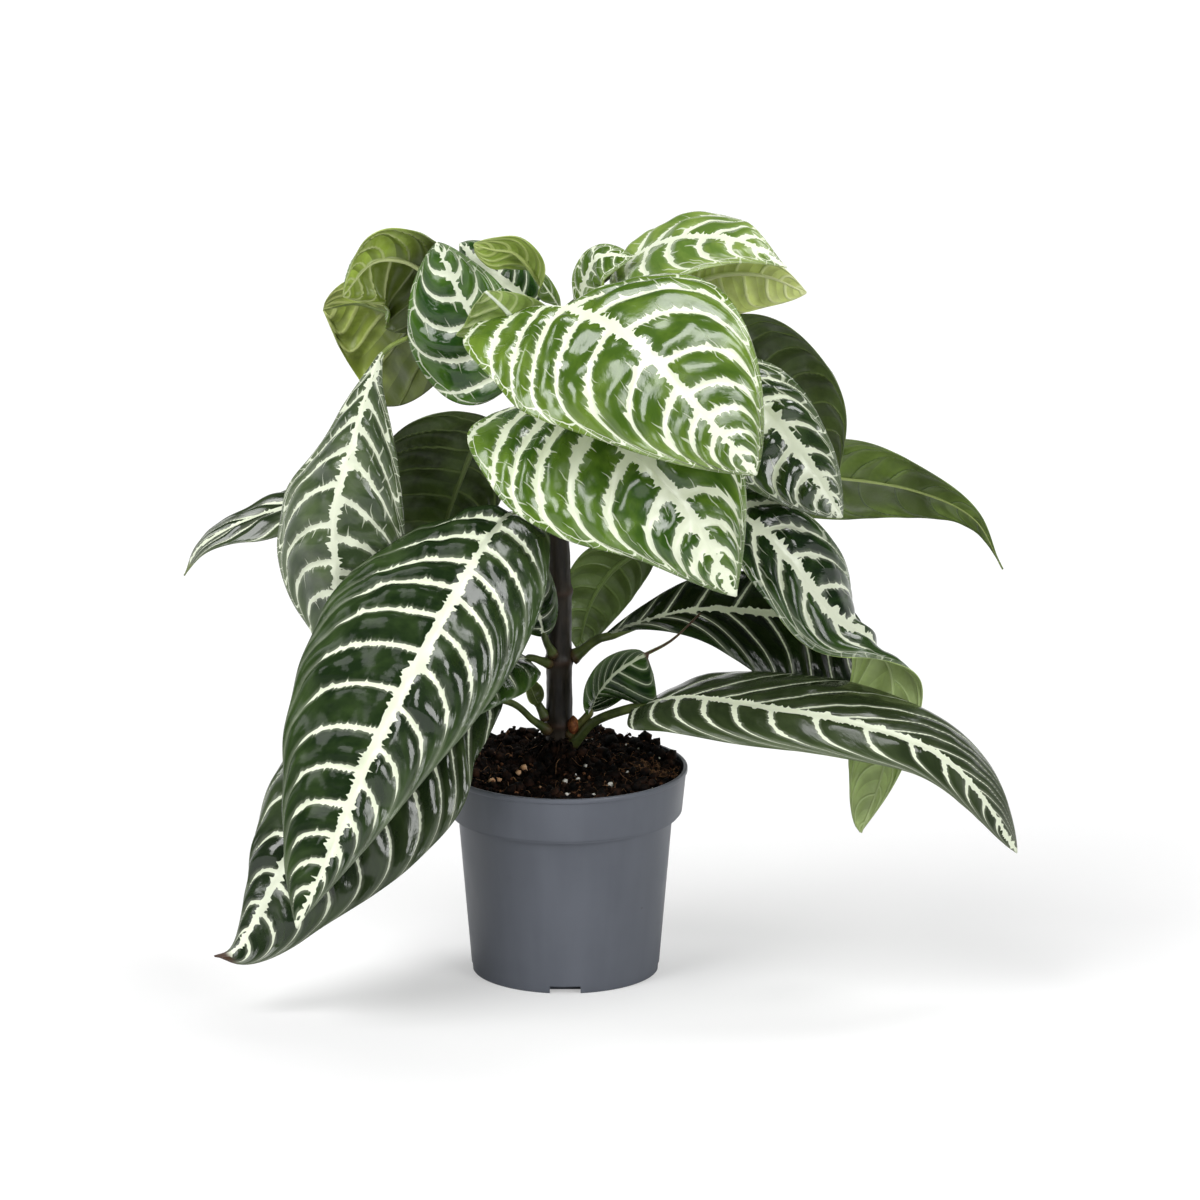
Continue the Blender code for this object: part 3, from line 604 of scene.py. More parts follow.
# Each leaf: the height of its joint on the stem, the blade's width, how many side veins it has, the midrib's
# points and the way the upper face looks. Anything else is where it departs from a plain leaf.
leaves = {
    "leaf_front_left": {
        "age": "dark", "joint": 231, "width": 112, "veins": 15, "shape": (0.5, 1.2, 0.85),
        "sides": (0.76, 1.06), "fold": (4, 4), "bend": (26, 30),
        "midrib": [(-21, -14, 235), (-34, -32, 231), (-62, -66, 190), (-90, -88, 141), (-110, -100, 95),
            (-129, -106, 52)],
        "face": [(-0.3, -0.35, 0.9), (-0.25, -0.95, 0.3), (-0.25, -0.95, 0.3), (-0.3, -0.9, 0.3)],
        "look": {"shine": (0.75, 0.15), "greenBase": 0.2, "midrib": 2.5, "pucker": 2.8,
            "deep": (0.012, 0.026, 0.008), "fresh": (0.045, 0.080, 0.022)},
    },
    "leaf_low_left": {
        "age": "dark", "joint": 121, "width": 112, "veins": 12, "shape": (0.75, 1.0, 1.3),
        "sides": (1, 0.8), "fold": (4, 0), "bend": (30, 45),
        "midrib": [(-30, -14, 140), (-66, -34, 146), (-106, -58, 115), (-134, -70, 76), (-157, -76, 35),
            (-170, -77, 29)],
        "face": [(-0.1, -0.5, 0.8), (-0.3, -0.9, 0.4), (-0.3, -0.95, 0.3)],
        "look": {"thorn": 1.3, "lateral": 1.05, "deep": (0.012, 0.024, 0.008),
            "fresh": (0.042, 0.070, 0.020), "plainEdge": 1.1, "dryTip": 0.955},
    },
    "leaf_hanging_left": {
        "age": "dark", "joint": 307, "stalk": 1, "width": 96, "veins": 12, "shape": (1.6, 1.1, 1.0),
        "sides": (0.75, 0.85), "fold": (-25, -15), "bend": (15, 20), "lean": (0.36, 0.36),
        "stalkWidth": 1.2,
        "midrib": [(-56, 26, 317), (-84, 16, 311), (-93, 5, 300), (-103, -8, 268), (-112, -15, 235),
            (-111, -12, 198), (-106, -6, 148)],
        "face": [(-0.4, -0.8, 0.2), (-0.4, -0.9, 0.3), (-0.2, -0.9, 0.3)],
        "look": {"midrib": 1.6, "stalk": ((0.16, 0.22, 0.05), (0.26, 0.34, 0.08)), "loops": 1.0,
            "thorn": 1.5, "lateral": 1.5, "plainEdge": 1.3, "threads": 0.6, "deep": (0.045, 0.072, 0.030),
            "fresh": (0.115, 0.165, 0.062)},
    },
    "leaf_far_left": {
        "age": "dark", "joint": 245, "stalk": 3, "width": 76, "veins": 8, "shape": (0.5, 1.2, 1.3),
        "sides": (0.8, 0.75), "lean": (0.9, 0.6), "straight": (0.8, 0.6),
        "midrib": [(-16, 32, 246), (-32, 50, 243), (-60, 58, 238), (-88, 60, 231), (-118, 60, 224),
            (-149, 58, 215), (-178, 52, 202), (-188, 46, 187)],
        "face": [(0, -0.1, 1), (-0.1, -0.15, 1), (-0.4, -0.2, 0.8)],
        "look": {"thorn": 0.9, "lateral": 1.5, "midrib": 1.6, "plainEdge": 1.3, "dryTip": 0.93,
            "tip": (0.16, 0.20, 0.06), "deep": (0.020, 0.036, 0.012), "fresh": (0.07, 0.10, 0.04)},
    },
    "leaf_top_left": {
        "age": "pale", "joint": 320, "width": 78, "veins": 8, "sides": (0.65, 1), "fold": (0, 0),
        "bend": (20, 30), "lean": (0.45, 0.45),
        "midrib": [(-49, 24, 332), (-67, 30, 344), (-80, 32, 350), (-95, 28, 349), (-108, 18, 335)],
        "face": [(0.1, 0.8, 0.4), (-0.1, 0.8, 0.5), (-0.6, 0.6, 0.2)],
        "look": {"backSideShade": (0, 0.6), "backShade": 0.9, "backPatchShade": 0.4, "pucker": 3.2, "backWidth": 0.6,
            "back": (0.44, 0.60, 0.08), "backVein": (0.74, 0.82, 0.38), "shadow": (0.8, 0.35, 0.7)},
    },
    "leaf_left_behind": {
        "age": "pale", "joint": 300, "width": 104, "veins": 6, "shape": (0.7, 0.7, 0.42), "sides": (0.4, 1),
        "fold": (0, 0), "lean": (0.6, 0.6), "straight": (0.9, 0.9),
        "midrib": [(-49, 38, 309), (-74, 52, 314), (-88, 62, 317), (-103, 70, 319), (-119, 74, 315)],
        "face": [(0.3, 0.85, 0.3), (0.3, 0.85, 0.3), (0.1, 0.85, 0.3)],
        "look": {"backShade": 0.9, "backPatchShade": 0.35, "pucker": 3.2, "backWidth": 0.9,
            "back": (0.60, 0.76, 0.13), "backVein": (0.66, 0.74, 0.26), "backRib": (0.16, 0.22, 0.05),
            "backMidrib": 0.7, "shadow": (0.85, 0.45, 0.85)},
    },
    "leaf_upper_left": {
        "age": "dark", "joint": 288, "width": 73, "veins": 6, "shape": (0.4, 0.7, 0.7), "sides": (1, 0.6),
        "bend": (30, 35), "lean": (0.85, 0.6), "crowd": 0.15,
        "midrib": [(-26, 2, 295), (-36, 8, 309), (-50, 10, 336), (-57, 11, 350), (-62, 14, 363)],
        "face": [(-0.1, -0.9, 0.2), (-0.15, -0.95, 0.1), (-0.4, -0.8, 0.4)],
        "look": {"deep": (0.018, 0.065, 0.007), "fresh": (0.085, 0.19, 0.018), "loops": 0.7, "thorn": 1.5,
            "lateral": 1.9, "midrib": 1.5, "plainEdge": 1.3, "threads": 0.5},
    },
    "leaf_crown_arched": {
        "age": "mid", "joint": 322, "width": 26, "veins": 7, "shape": (1.0, 0.8, 0.6), "sides": (0.9, 0.9),
        "lean": (0.8, 0.8),
        "midrib": [(-3, 14, 329), (-9, 10, 341), (-17, 5, 353), (-25, 1, 361), (-35, -2, 363),
            (-44, -3, 366)],
        "face": [(0.2, -0.9, 0.3), (0.5, -0.6, 0.6), (0.3, 0.7, 0.6), (0.1, 0.95, 0.2), (0, 0.9, 0.3)],
        "look": {"midrib": 3.0, "lateral": 2.2, "thorn": 0.8, "loops": 0, "pucker": 1.5, "backShade": 0.7},
    },
    "leaf_crown_left": {
        "age": "dark", "joint": 325, "width": 44, "veins": 7, "shape": (0.6, 0.8, 0.7), "sides": (0.6, 0.8),
        "fold": (10, 5), "bend": (10, 30), "lean": (0.36, 0.36),
        "midrib": [(-15, 19, 331), (-25, 20, 338), (-34, 20, 345), (-43, 19, 353), (-51, 20, 361)],
        "face": [(0.1, -0.75, 0.65), (0, -0.75, 0.65), (-0.1, -0.6, 0.8)],
        "look": {"deep": (0.012, 0.045, 0.006), "fresh": (0.045, 0.12, 0.012), "thorn": 2.2, "lateral": 2.4,
            "midrib": 5.0, "greenBase": 0.01, "plainEdge": 1.3},
    },
    "leaf_crown_young": {
        "age": "pale", "joint": 317, "width": 38, "veins": 6, "shape": (0.4, 0.9, 0.5), "sides": (0.9, 1.6),
        "fold": (20, 20), "bend": (10, 10), "stalkWidth": 0.45,
        "midrib": [(-19, -10, 321), (-24, -26, 333), (-30, -33, 342), (-38, -34, 350)],
        "face": [(-0.1, 0.9, 0.4), (-0.1, 0.9, 0.3), (-0.1, 0.8, 0.4)],
        "look": {"back": (0.26, 0.38, 0.07), "backVein": (0.55, 0.64, 0.30), "backRib": (0.92, 0.97, 0.85),
            "backMidrib": 2.2},
    },
    "leaf_centre": {
        "age": "mid", "joint": 309, "width": 118, "veins": 12, "shape": (0.5, 0.8, 0.85),
        "rightBlunt": 0.38, "sides": (0.82, 1), "late": 0.2, "fold": (6, 0), "bend": (28, 20),
        "lean": (0.44, 0.44), "crowd": 0.5,
        "midrib": [(-27, -16, 335), (-10, -31, 342), (7, -46, 343), (34, -80, 336), (62, -108, 313),
            (91, -128, 283)],
        "face": [(0, -0.2, 0.98), (-0.3, -0.45, 0.8), (-0.45, -0.6, 0.65), (-0.45, -0.75, 0.5)],
        "look": {"ribStart": (0.12, 0.36, 0.1), "pucker": 2.5, "shine": (1, 0.9)},
    },
    "leaf_below_centre": {
        "age": "mid", "joint": 265, "width": 118, "veins": 11, "shape": (0.36, 0.95, 0.85), "fold": (6, 0),
        "bend": (28, 20), "lean": (0.44, 0.44), "crowd": 0.5,
        "midrib": [(-23, -8, 286), (-2, -28, 290), (29, -60, 280), (58, -88, 256), (82, -104, 217)],
        "face": [(0, -0.25, 0.97), (-0.35, -0.6, 0.7), (-0.4, -0.8, 0.5)],
        "look": {"midrib": 2.9, "lateral": 2.1, "shine": (1, 1), "pucker": 2.9, "sideShare": (1, 1.25),
            "deep": (0.030, 0.085, 0.005), "fresh": (0.13, 0.24, 0.018)},
    },
    "leaf_top_right": {
        "age": "mid", "joint": 316, "stalk": 1, "width": 90, "veins": 8, "shape": (0.45, 1.2, 1.1),
        "sides": (0.8, 0.8), "bend": (35, 35), "lean": (0.42, 0.42),
        "midrib": [(5, 40, 327), (22, 42, 340), (44, 26, 359), (68, 8, 367), (89, -8, 367), (107, -18, 358)],
        "face": [(-0.4, -0.2, 0.85), (-0.1, -0.4, 0.85), (0.2, -0.5, 0.8)],
        "look": {"midrib": 1.9, "lateral": 1.9, "thorn": 1.4, "deep": (0.11, 0.20, 0.03),
            "fresh": (0.30, 0.42, 0.08)},
    },
    "leaf_top_right_under": {
        "age": "pale", "joint": 304, "stalk": 1, "width": 46, "veins": 7, "shape": (0.55, 0.8, 0.8),
        "sides": (0.9, 0.5), "fold": (0, 0), "bend": (10, 10),
        "midrib": [(17, 38, 321), (56, 36, 333), (75, 24, 344), (97, 10, 347), (117, 0, 341)],
        "face": [(0, 0.9, -0.3), (0, 0.9, -0.2), (0.1, 0.9, 0)],
        # painted light: this underside is made paler to stand for light shining through it from above
        "look": {"back": (0.72, 0.82, 0.26), "backVein": (0.85, 0.9, 0.5)},
    },
    "leaf_crown_right": {
        "age": "mid", "joint": 311, "stalk": 1, "width": 46, "veins": 7, "sides": (0.45, 1),
        "lean": (0.36, 0.36),
        "midrib": [(-4, 22, 311), (6, 31, 323), (10, 32, 340), (17, 30, 352), (33, 21, 354)],
        "face": [(-0.6, -0.4, 0.6), (-0.2, -0.6, 0.8), (0, -0.5, 0.9)],
    },
    "leaf_back_right": {
        "age": "dark", "joint": 293, "stalk": 1, "width": 96, "veins": 11, "shape": (0.55, 0.9, 0.9),
        "sides": (1, 0.8), "fold": (0, 0),
        "midrib": [(27, 32, 310), (56, 40, 309), (88, 38, 299), (113, 28, 279), (131, 12, 235)],
        "face": [(0, 0.8, 0.6), (0.2, 0.85, 0.4), (0.5, 0.8, 0.2)],
        "look": {"back": (0.085, 0.13, 0.03), "backVein": (0.19, 0.26, 0.07), "backWidth": 0.6},
    },
    "leaf_right_upper": {
        "age": "dark", "joint": 283, "stalk": 1, "width": 84, "veins": 9, "shape": (0.5, 0.8, 0.8),
        "sides": (0.5, 0.9), "fold": (8, 8), "bend": (25, 25), "lean": (0.36, 0.36),
        "midrib": [(27, 18, 298), (61, 6, 305), (93, -16, 290), (115, -30, 267), (134, -36, 238)],
        "face": [(-0.3, -0.4, 0.9), (-0.2, -0.75, 0.65), (0, -0.85, 0.5)],
        "look": {"loops": 0.8, "thorn": 1.9, "lateral": 1.8, "shine": (1, 1), "pucker": 2.8,
            "deep": (0.016, 0.038, 0.009), "fresh": (0.06, 0.11, 0.025), "midrib": 3.2, "plainEdge": 1.3,
            "threads": 0.6},
    },
    "leaf_far_right": {
        "age": "dark", "joint": 234, "stalk": 1, "width": 84, "veins": 11, "shape": (0.6, 1.7, 1.9),
        "sides": (0.88, 0.88), "stalkWidth": 1.1, "bend": (15, 15),
        "midrib": [(41, 36, 240), (88, 54, 238), (139, 64, 232), (175, 68, 224), (202, 64, 211),
            (216, 58, 187)],
        "face": [(0.1, 0.7, 0.7), (0.1, 0.75, 0.6), (0.5, 0.7, 0.3)],
        "look": {"back": (0.17, 0.26, 0.04), "backVein": (0.07, 0.12, 0.02), "backRib": (0.46, 0.56, 0.18),
            "backWidth": 0.35, "backMidrib": 0.5, "backShade": 0.5, "backPatchShade": 0.5},
    },
    "leaf_right_hanging": {
        "age": "dark", "joint": 226, "stalk": 1, "width": 100, "veins": 12, "shape": (0.5, 0.6, 1.0),
        "sides": (0.58, 0.5), "bend": (15, 15), "lean": (0.28, 0.28),
        "midrib": [(36, -6, 241), (61, -12, 243), (90, -20, 232), (109, -24, 214), (127, -22, 189),
            (146, -14, 172), (159, -6, 155), (160, -2, 131), (155, -4, 99), (145, -8, 71)],
        "face": [(-0.1, -0.5, 0.85), (-0.1, -0.6, 0.8), (0, -0.6, 0.7), (0.4, 0.3, 0.5), (0.3, 0.95, 0),
            (0.3, 0.95, 0)],
        "look": {"loops": 0.5, "thorn": 1.9, "midrib": 2.8, "plainEdge": 1.3, "threads": 0.3,
            "back": (0.50, 0.66, 0.22), "backVein": (0.62, 0.76, 0.34), "backWidth": 0.5},
    },
    "leaf_right_shaded": {
        "age": "dark", "joint": 157, "width": 84, "veins": 10, "shape": (1.1, 0.7, 0.7), "rightBlunt": 1.8,
        "sides": (0.6, 0.9), "lean": (0.1, 0.26), "straight": (0.9, 0.9), "stalkWidth": 2.2,
        "midrib": [(17, 6, 166), (39, 6, 175), (64, 8, 180), (90, 12, 178), (117, 18, 171), (153, 28, 145)],
        "face": [(0, -0.6, 0.8), (0, -0.75, 0.65), (0.1, -0.8, 0.5)],
        "look": {"thorn": 0.8, "lateral": 0.7, "midrib": 1.9, "ribStart": (0.1, 0.6, 0.2),
            "vein": (0.78, 0.84, 0.64), "greenBase": 0.4, "deep": (0.003, 0.008, 0.002),
            "fresh": (0.012, 0.030, 0.005), "shine": (0.4, 0.4), "pucker": 1.2, "plainEdge": 1.0},
    },
    "leaf_right_long": {
        "age": "dark", "joint": 112, "stalk": 1, "width": 96, "veins": 14, "rightBlunt": 0.3,
        "sides": (1, 0.6), "bend": (25, 35), "crowd": 0.35, "hook": (0, 0.65), "stalkWidth": 2.3,
        "wavy": 0.3, "straight": (0.9, 0), "lean": (0.5, 0.24),
        "midrib": [(15, -8, 128), (33, -20, 138), (59, -36, 148), (101, -50, 146), (138, -56, 141),
            (177, -56, 127), (201, -52, 104), (220, -46, 72)],
        "face": [(0, -0.25, 0.98), (0, -0.25, 0.98), (0.1, -0.3, 0.95), (0.4, -0.6, 0.6)],
        "look": {"thorn": 1.2, "midrib": 2.4, "plainEdge": 1.1, "sideShare": (0.5, 1), "pucker": 0.8,
            "shine": (0.35, 0.25), "deep": (0.026, 0.040, 0.015), "fresh": (0.055, 0.080, 0.030),
            "greenBase": 0.1},
    },
    "leaf_folded_by_stem": {
        "age": "dark", "joint": 119, "width": 80, "veins": 17, "shape": (0.6, 0.6, 0.6),
        "sides": (0.28, 0.85), "ending": 0.6, "fold": (30, 10), "bend": (10, 10), "lean": (0.2, 0.2),
        "straight": (0.8, 0.8), "stalkWidth": 2.0,
        "midrib": [(12, -4, 131), (16, -16, 144), (25, -20, 156), (37, -17, 163), (52, -12, 170),
            (66, -6, 182)],
        "face": [(0.5, -0.7, 0.4), (0.4, -0.8, 0.4), (0.2, -0.8, 0.5)],
        "look": {"thorn": 0.3, "lateral": 1.1, "midrib": 0.9, "vein": (0.46, 0.52, 0.36), "dryTip": 0.58,
            "shine": (0.3, 0.3), "pucker": 1.0, "plainEdge": 1.3,
            "stalk": ((0.10, 0.12, 0.03), (0.19, 0.20, 0.06))},
    },
    "leaf_behind_stem": {
        "age": "pale", "joint": 219, "stalk": 1, "width": 60, "veins": 7, "sides": (0.6, 0.6),
        "bend": (15, 15),
        "midrib": [(27, 28, 219), (38, 36, 207), (22, 42, 190), (12, 42, 173), (6, 36, 152)],
        "face": [(-0.1, 0.95, 0.3), (-0.1, 0.95, 0.2), (-0.1, 0.95, 0.2)],
        "look": {"back": (0.13, 0.20, 0.045), "backVein": (0.20, 0.29, 0.08), "backWidth": 0.5},
    },
    "leaf_back_left": {
        "age": "dark", "joint": 264, "width": 96, "veins": 9, "shape": (0.5, 0.8, 0.8), "sides": (1, 0.5),
        "midrib": [(-32, 22, 269), (-43, 30, 260), (-52, 33, 238), (-60, 31, 214), (-67, 25, 187)],
        "face": [(-0.2, 0.7, 0.6), (-0.2, 0.9, 0.3), (-0.2, 0.9, 0.3)],
        "look": {"backPatchShade": 0.4, "backWidth": 0.5, "pucker": 3.0},
    },
    "leaf_hidden_left": {
        "age": "dark", "joint": 155, "width": 40, "veins": 6,
        "midrib": [(-18, -8, 160), (-30, -26, 162), (-42, -42, 155), (-50, -52, 141)],
        "face": [(-0.2, -0.6, 0.7), (-0.2, -0.8, 0.5)],
    },
    "leaf_beside_stem": {
        "age": "dark", "joint": 160, "width": 46, "veins": 7, "sides": (0.8, 0.5),
        "midrib": [(-10, -6, 170), (-16, -12, 195), (-26, -14, 218), (-41, -12, 220)],
        "face": [(-0.2, -0.9, 0.1), (-0.1, -0.8, 0.5), (-0.2, -0.7, 0.7)],
    },
    "leaf_sprout": {
        "age": "pale", "joint": 127, "width": 11, "veins": 3, "shape": (0.7, 0.9, 0.9), "fold": (35, 35),
        "bend": (0, 0),
        "midrib": [(-13, 3, 133), (-16, 2, 140), (-18, 0, 148)],
        "face": [(0.3, -0.9, 0.3), (0.3, -0.9, 0.3)],
        "look": {"deep": (0.06, 0.085, 0.02), "fresh": (0.10, 0.13, 0.03), "vein": (0.13, 0.17, 0.05),
            "loops": 0, "threads": 0},
    },
}


def leafRoute(leaf):
    height = leaf["joint"] * mm
    axis, upward = stemAt(height)
    points = np.array(leaf["midrib"]) * mm
    outward = points[0] - axis
    outward -= upward * (outward @ upward)
    outward /= np.linalg.norm(outward)
    clear = max(stemRadius(height + step * mm) for step in (-2, 0, 2))
    start = axis + outward * (clear + 0.35 * mm)
    lead = start + 0.3 * (points[0] - start)
    route, length, knots = smoothRoute([start, lead, *points], 600)
    return route, length, knots[2 + leaf["stalk"]] / length


def leafFrame(leaf):  # the route with its own directions at every sample
    route, length, bladeStart = leafRoute(leaf)
    places = np.linspace(0, 1, len(route))
    forward = steady(unit(np.gradient(route, axis=0)))
    share = np.clip((places - bladeStart) / (1 - bladeStart), 0, 1)
    faces = np.array(leaf["face"], float)
    up = readAt(share, np.linspace(0, 1, len(faces)), faces)
    up = unit(up - forward * np.sum(up * forward, axis=1)[:, None])
    up = steady(up, 0.05)
    up = unit(up - forward * np.sum(up * forward, axis=1)[:, None])
    return route, np.cross(forward, up), up, places, length, bladeStart


def bladeOutline(share, blunt, taper):
    share = np.clip(share, 0, 1)
    widest = blunt / (blunt + taper)
    return share**blunt * (1 - share) ** taper / (widest**blunt * (1 - widest) ** taper)


def veinPhase(leaf, share, v):
    # whole numbers lie on the side veins, which leave the midrib and curve on towards the tip
    side = (v > 0).astype(float)
    away = np.abs(v)
    hook = np.where(v > 0, *reversed(leaf["hook"]))
    straight = np.where(v > 0, *reversed(leaf["straight"]))
    bow = 0.1 * away + 0.32 * away**2 + 0.28 * away**4 + 0.3 * away**12
    bow = (1 - hook) * bow + hook * (0.1 * away**2 + 0.9 * away**7)
    bow = (1 - straight) * bow + straight * away
    roots = np.linspace(-0.3, 1.3, 1200)
    root = np.empty_like(share)
    for j in range(share.shape[1]):
        lean = leaf["lean"][int(side[0, j])]
        reach = np.clip(1.3 * roots, 0, lean) * (1 - 0.55 * np.clip(roots - 0.45, 0, 0.55) / 0.55)
        root[:, j] = np.interp(share[:, j], roots + reach * bow[0, j], roots)
    spread = root + leaf["crowd"] * np.sin(2 * np.pi * np.clip(root, 0, 1)) / (2 * np.pi)
    return leaf["veins"] * spread + 0.5 + 0.3 * (side - 0.5)


def ripples(s, t, size, seed):  # a smooth random swell of about one unit, with bumps of that size
    chance = np.random.default_rng(seed)
    ranges = (0, np.pi), (0.7, 1.6), (0, 6.3)
    turns, lengths, starts = (chance.uniform(least, most, 10) for least, most in ranges)
    total = 0 * s
    for turn, length, start in zip(turns, lengths, starts):
        total = total + np.cos((s * np.cos(turn) + t * np.sin(turn)) * 2 * np.pi / (size * length) + start)
    return total / math.sqrt(5)


bladeMesh = {"step": 1.4, "crowding": 1.35, "thickness": 0.5, "fullWidth": 95}


def bladeGrid(leaf, look, seed):
    route, across, up, places, length, bladeStart = leafFrame(leaf)
    bladeLength = length * (1 - bladeStart)
    rows = max(36, round(bladeLength / (bladeMesh["step"] * mm)))
    columns = 2 * max(10, round(leaf["width"] / 2 / bladeMesh["step"])) + 1
    shares = np.linspace(0, 1, rows) ** bladeMesh["crowding"]
    share, v = np.meshgrid(shares, np.linspace(-1, 1, columns), indexing="ij")
    stops = bladeStart + (1 - bladeStart) * share[:, 0]
    centre, sideways, rise = (readAt(stops, places, values)[:, None] for values in (route, across, up))
    blunt, leftTaper, rightTaper = leaf["shape"]
    right = v > 0
    late, ending = leaf["late"], leaf["ending"]
    half = np.where(
        right, leaf["sides"][1] * bladeOutline(share / ending, leaf.get("rightBlunt", blunt), rightTaper),
        leaf["sides"][0] * bladeOutline((share / ending - late) / (1 - late), blunt, leftTaper))
    half = np.maximum(half * leaf["width"] / 2 * mm, 0.5 * mm)
    fold = np.radians(np.where(right, leaf["fold"][1], leaf["fold"][0]))
    bend = np.radians(np.where(right, leaf["bend"][1], leaf["bend"][0]) + 0.01)
    away = np.abs(v)
    out = half * (np.sin(fold) - np.sin(fold - bend * away)) / bend * np.sign(v)
    lift = half * (np.cos(fold - bend * away) - np.cos(fold)) / bend
    spots = centre + sideways * out[..., None] + rise * lift[..., None]
    phase = veinPhase(leaf, share, v)
    s, t = share * bladeLength / mm, v * half / mm
    span = phaseSpan(spots, phase, columns // 2)

    normal = unit(np.cross(np.gradient(spots, axis=1), np.gradient(spots, axis=0)))
    calm = (1 - away**8) * np.clip(np.abs(t) / 7, 0, 1) * np.clip(half / (20 * mm), 0, 1)
    swell = np.abs(np.sin(np.pi * phase)) ** 0.9 * (1 + 0.45 * ripples(s, t, 40, seed)) - 0.3
    height = look["pucker"] * swell * calm
    height += 0.16 * look["pucker"] * ripples(s, t, 17, seed + 50) * calm
    waves = leaf["wavy"] * away**3 * ripples(s, 0.3 * t, 40, seed + 90)
    height += waves * np.clip(half / (20 * mm), 0, 1)
    spots = spots + normal * (height * mm)[..., None]

    fields = {
        "vein": np.stack([phase, span, np.abs(t)], axis=-1),
        "blade": np.stack([share, away, (1 - away) * half / mm], axis=-1),
        "flat": np.stack([s, t, 0 * s + seed * 37.0], axis=-1),
    }
    return spots, fields


def phaseSpan(spots, phase, middle):  # millimetres from one side vein to the next, measured square to them
    along, over = np.gradient(spots, axis=0), np.gradient(spots, axis=1)
    steps = np.gradient(phase, axis=0)
    turns = np.concatenate(
        [np.gradient(phase[:, :middle], axis=1), np.gradient(phase[:, middle + 1:], axis=1)], axis=1)
    turns = np.insert(turns, middle, turns[:, middle], axis=1)
    a, b, c = (along**2).sum(-1), (along * over).sum(-1), (over**2).sum(-1)
    slope = (c * steps**2 - 2 * b * steps * turns + a * turns**2) / np.maximum(a * c - b**2, 1e-16)
    return np.clip(1 / np.sqrt(np.maximum(slope, 1e-9)) / mm, 1, 60)


def thornyEdge(along, row, reach, pitch=0.24):
    # pointed teeth along a vein: each stands where the cloud crosses its middle
    teeth = cloudy(vectorOf(along * pitch, row, 0.5), 1.0, 1, 0.6)
    away = abs(teeth - 0.5)
    sharp = maths("SUBTRACT", 1, away * 8, clamp=True) ** 1.4
    chance = cloudy(vectorOf(along * 0.23, row, 7.5), 1.0, 0)
    return sharp * fade(chance, 0.3, 0.68, 0.45, 1.8) * reach


def sideBranches(t, row, beyond, flat, amount):
    # thin threads that leave a side vein here and there and end in the green
    place = t * 0.13 + cloudy(flat, 12.0, 1) + row * 0.37
    nearest = round(place)
    gap = abs(place - nearest) * 7.7
    luck = cloudy(vectorOf(nearest * 3.1, row, 2.5), 1.0, 0)
    length = fade(luck, 0.38, 0.66, 0.5, 5.5)
    left = maths("SUBTRACT", 1, beyond / length, clamp=True)
    width = left * 0.42
    line = fade(width - gap, -0.12, 0.1, 0, amount)
    return line * fade(left, 0.0, 0.15)


def marginLoops(phase, edgeGap, s, flat, amount):
    # the side veins join in a row of loops just inside the margin, with threads out to the edge
    bow = abs(maths("SINE", phase * math.pi))
    wander = cloudy(flat, 7.0, 2) * 2.6
    place = wander + 3.4 - bow * 2.3
    line = abs(edgeGap - place)
    loop = fade(line, 0.16, 0.42, amount, 0)
    beat = s * 0.2 + cloudy(flat, 7.0, 1) * 2.4
    thread = abs(beat - round(beat)) * 5.0
    luck = fade(cloudy(vectorOf(round(beat), 0.3, 0.7), 0.31, 0), 0.35, 0.5, 0.2, 1)
    outside = fade(place - edgeGap, -0.5, 0.3)
    thread = fade(thread, 0.12, 0.36, amount, 0) * (outside * luck)
    return maths("MAXIMUM", loop, thread)


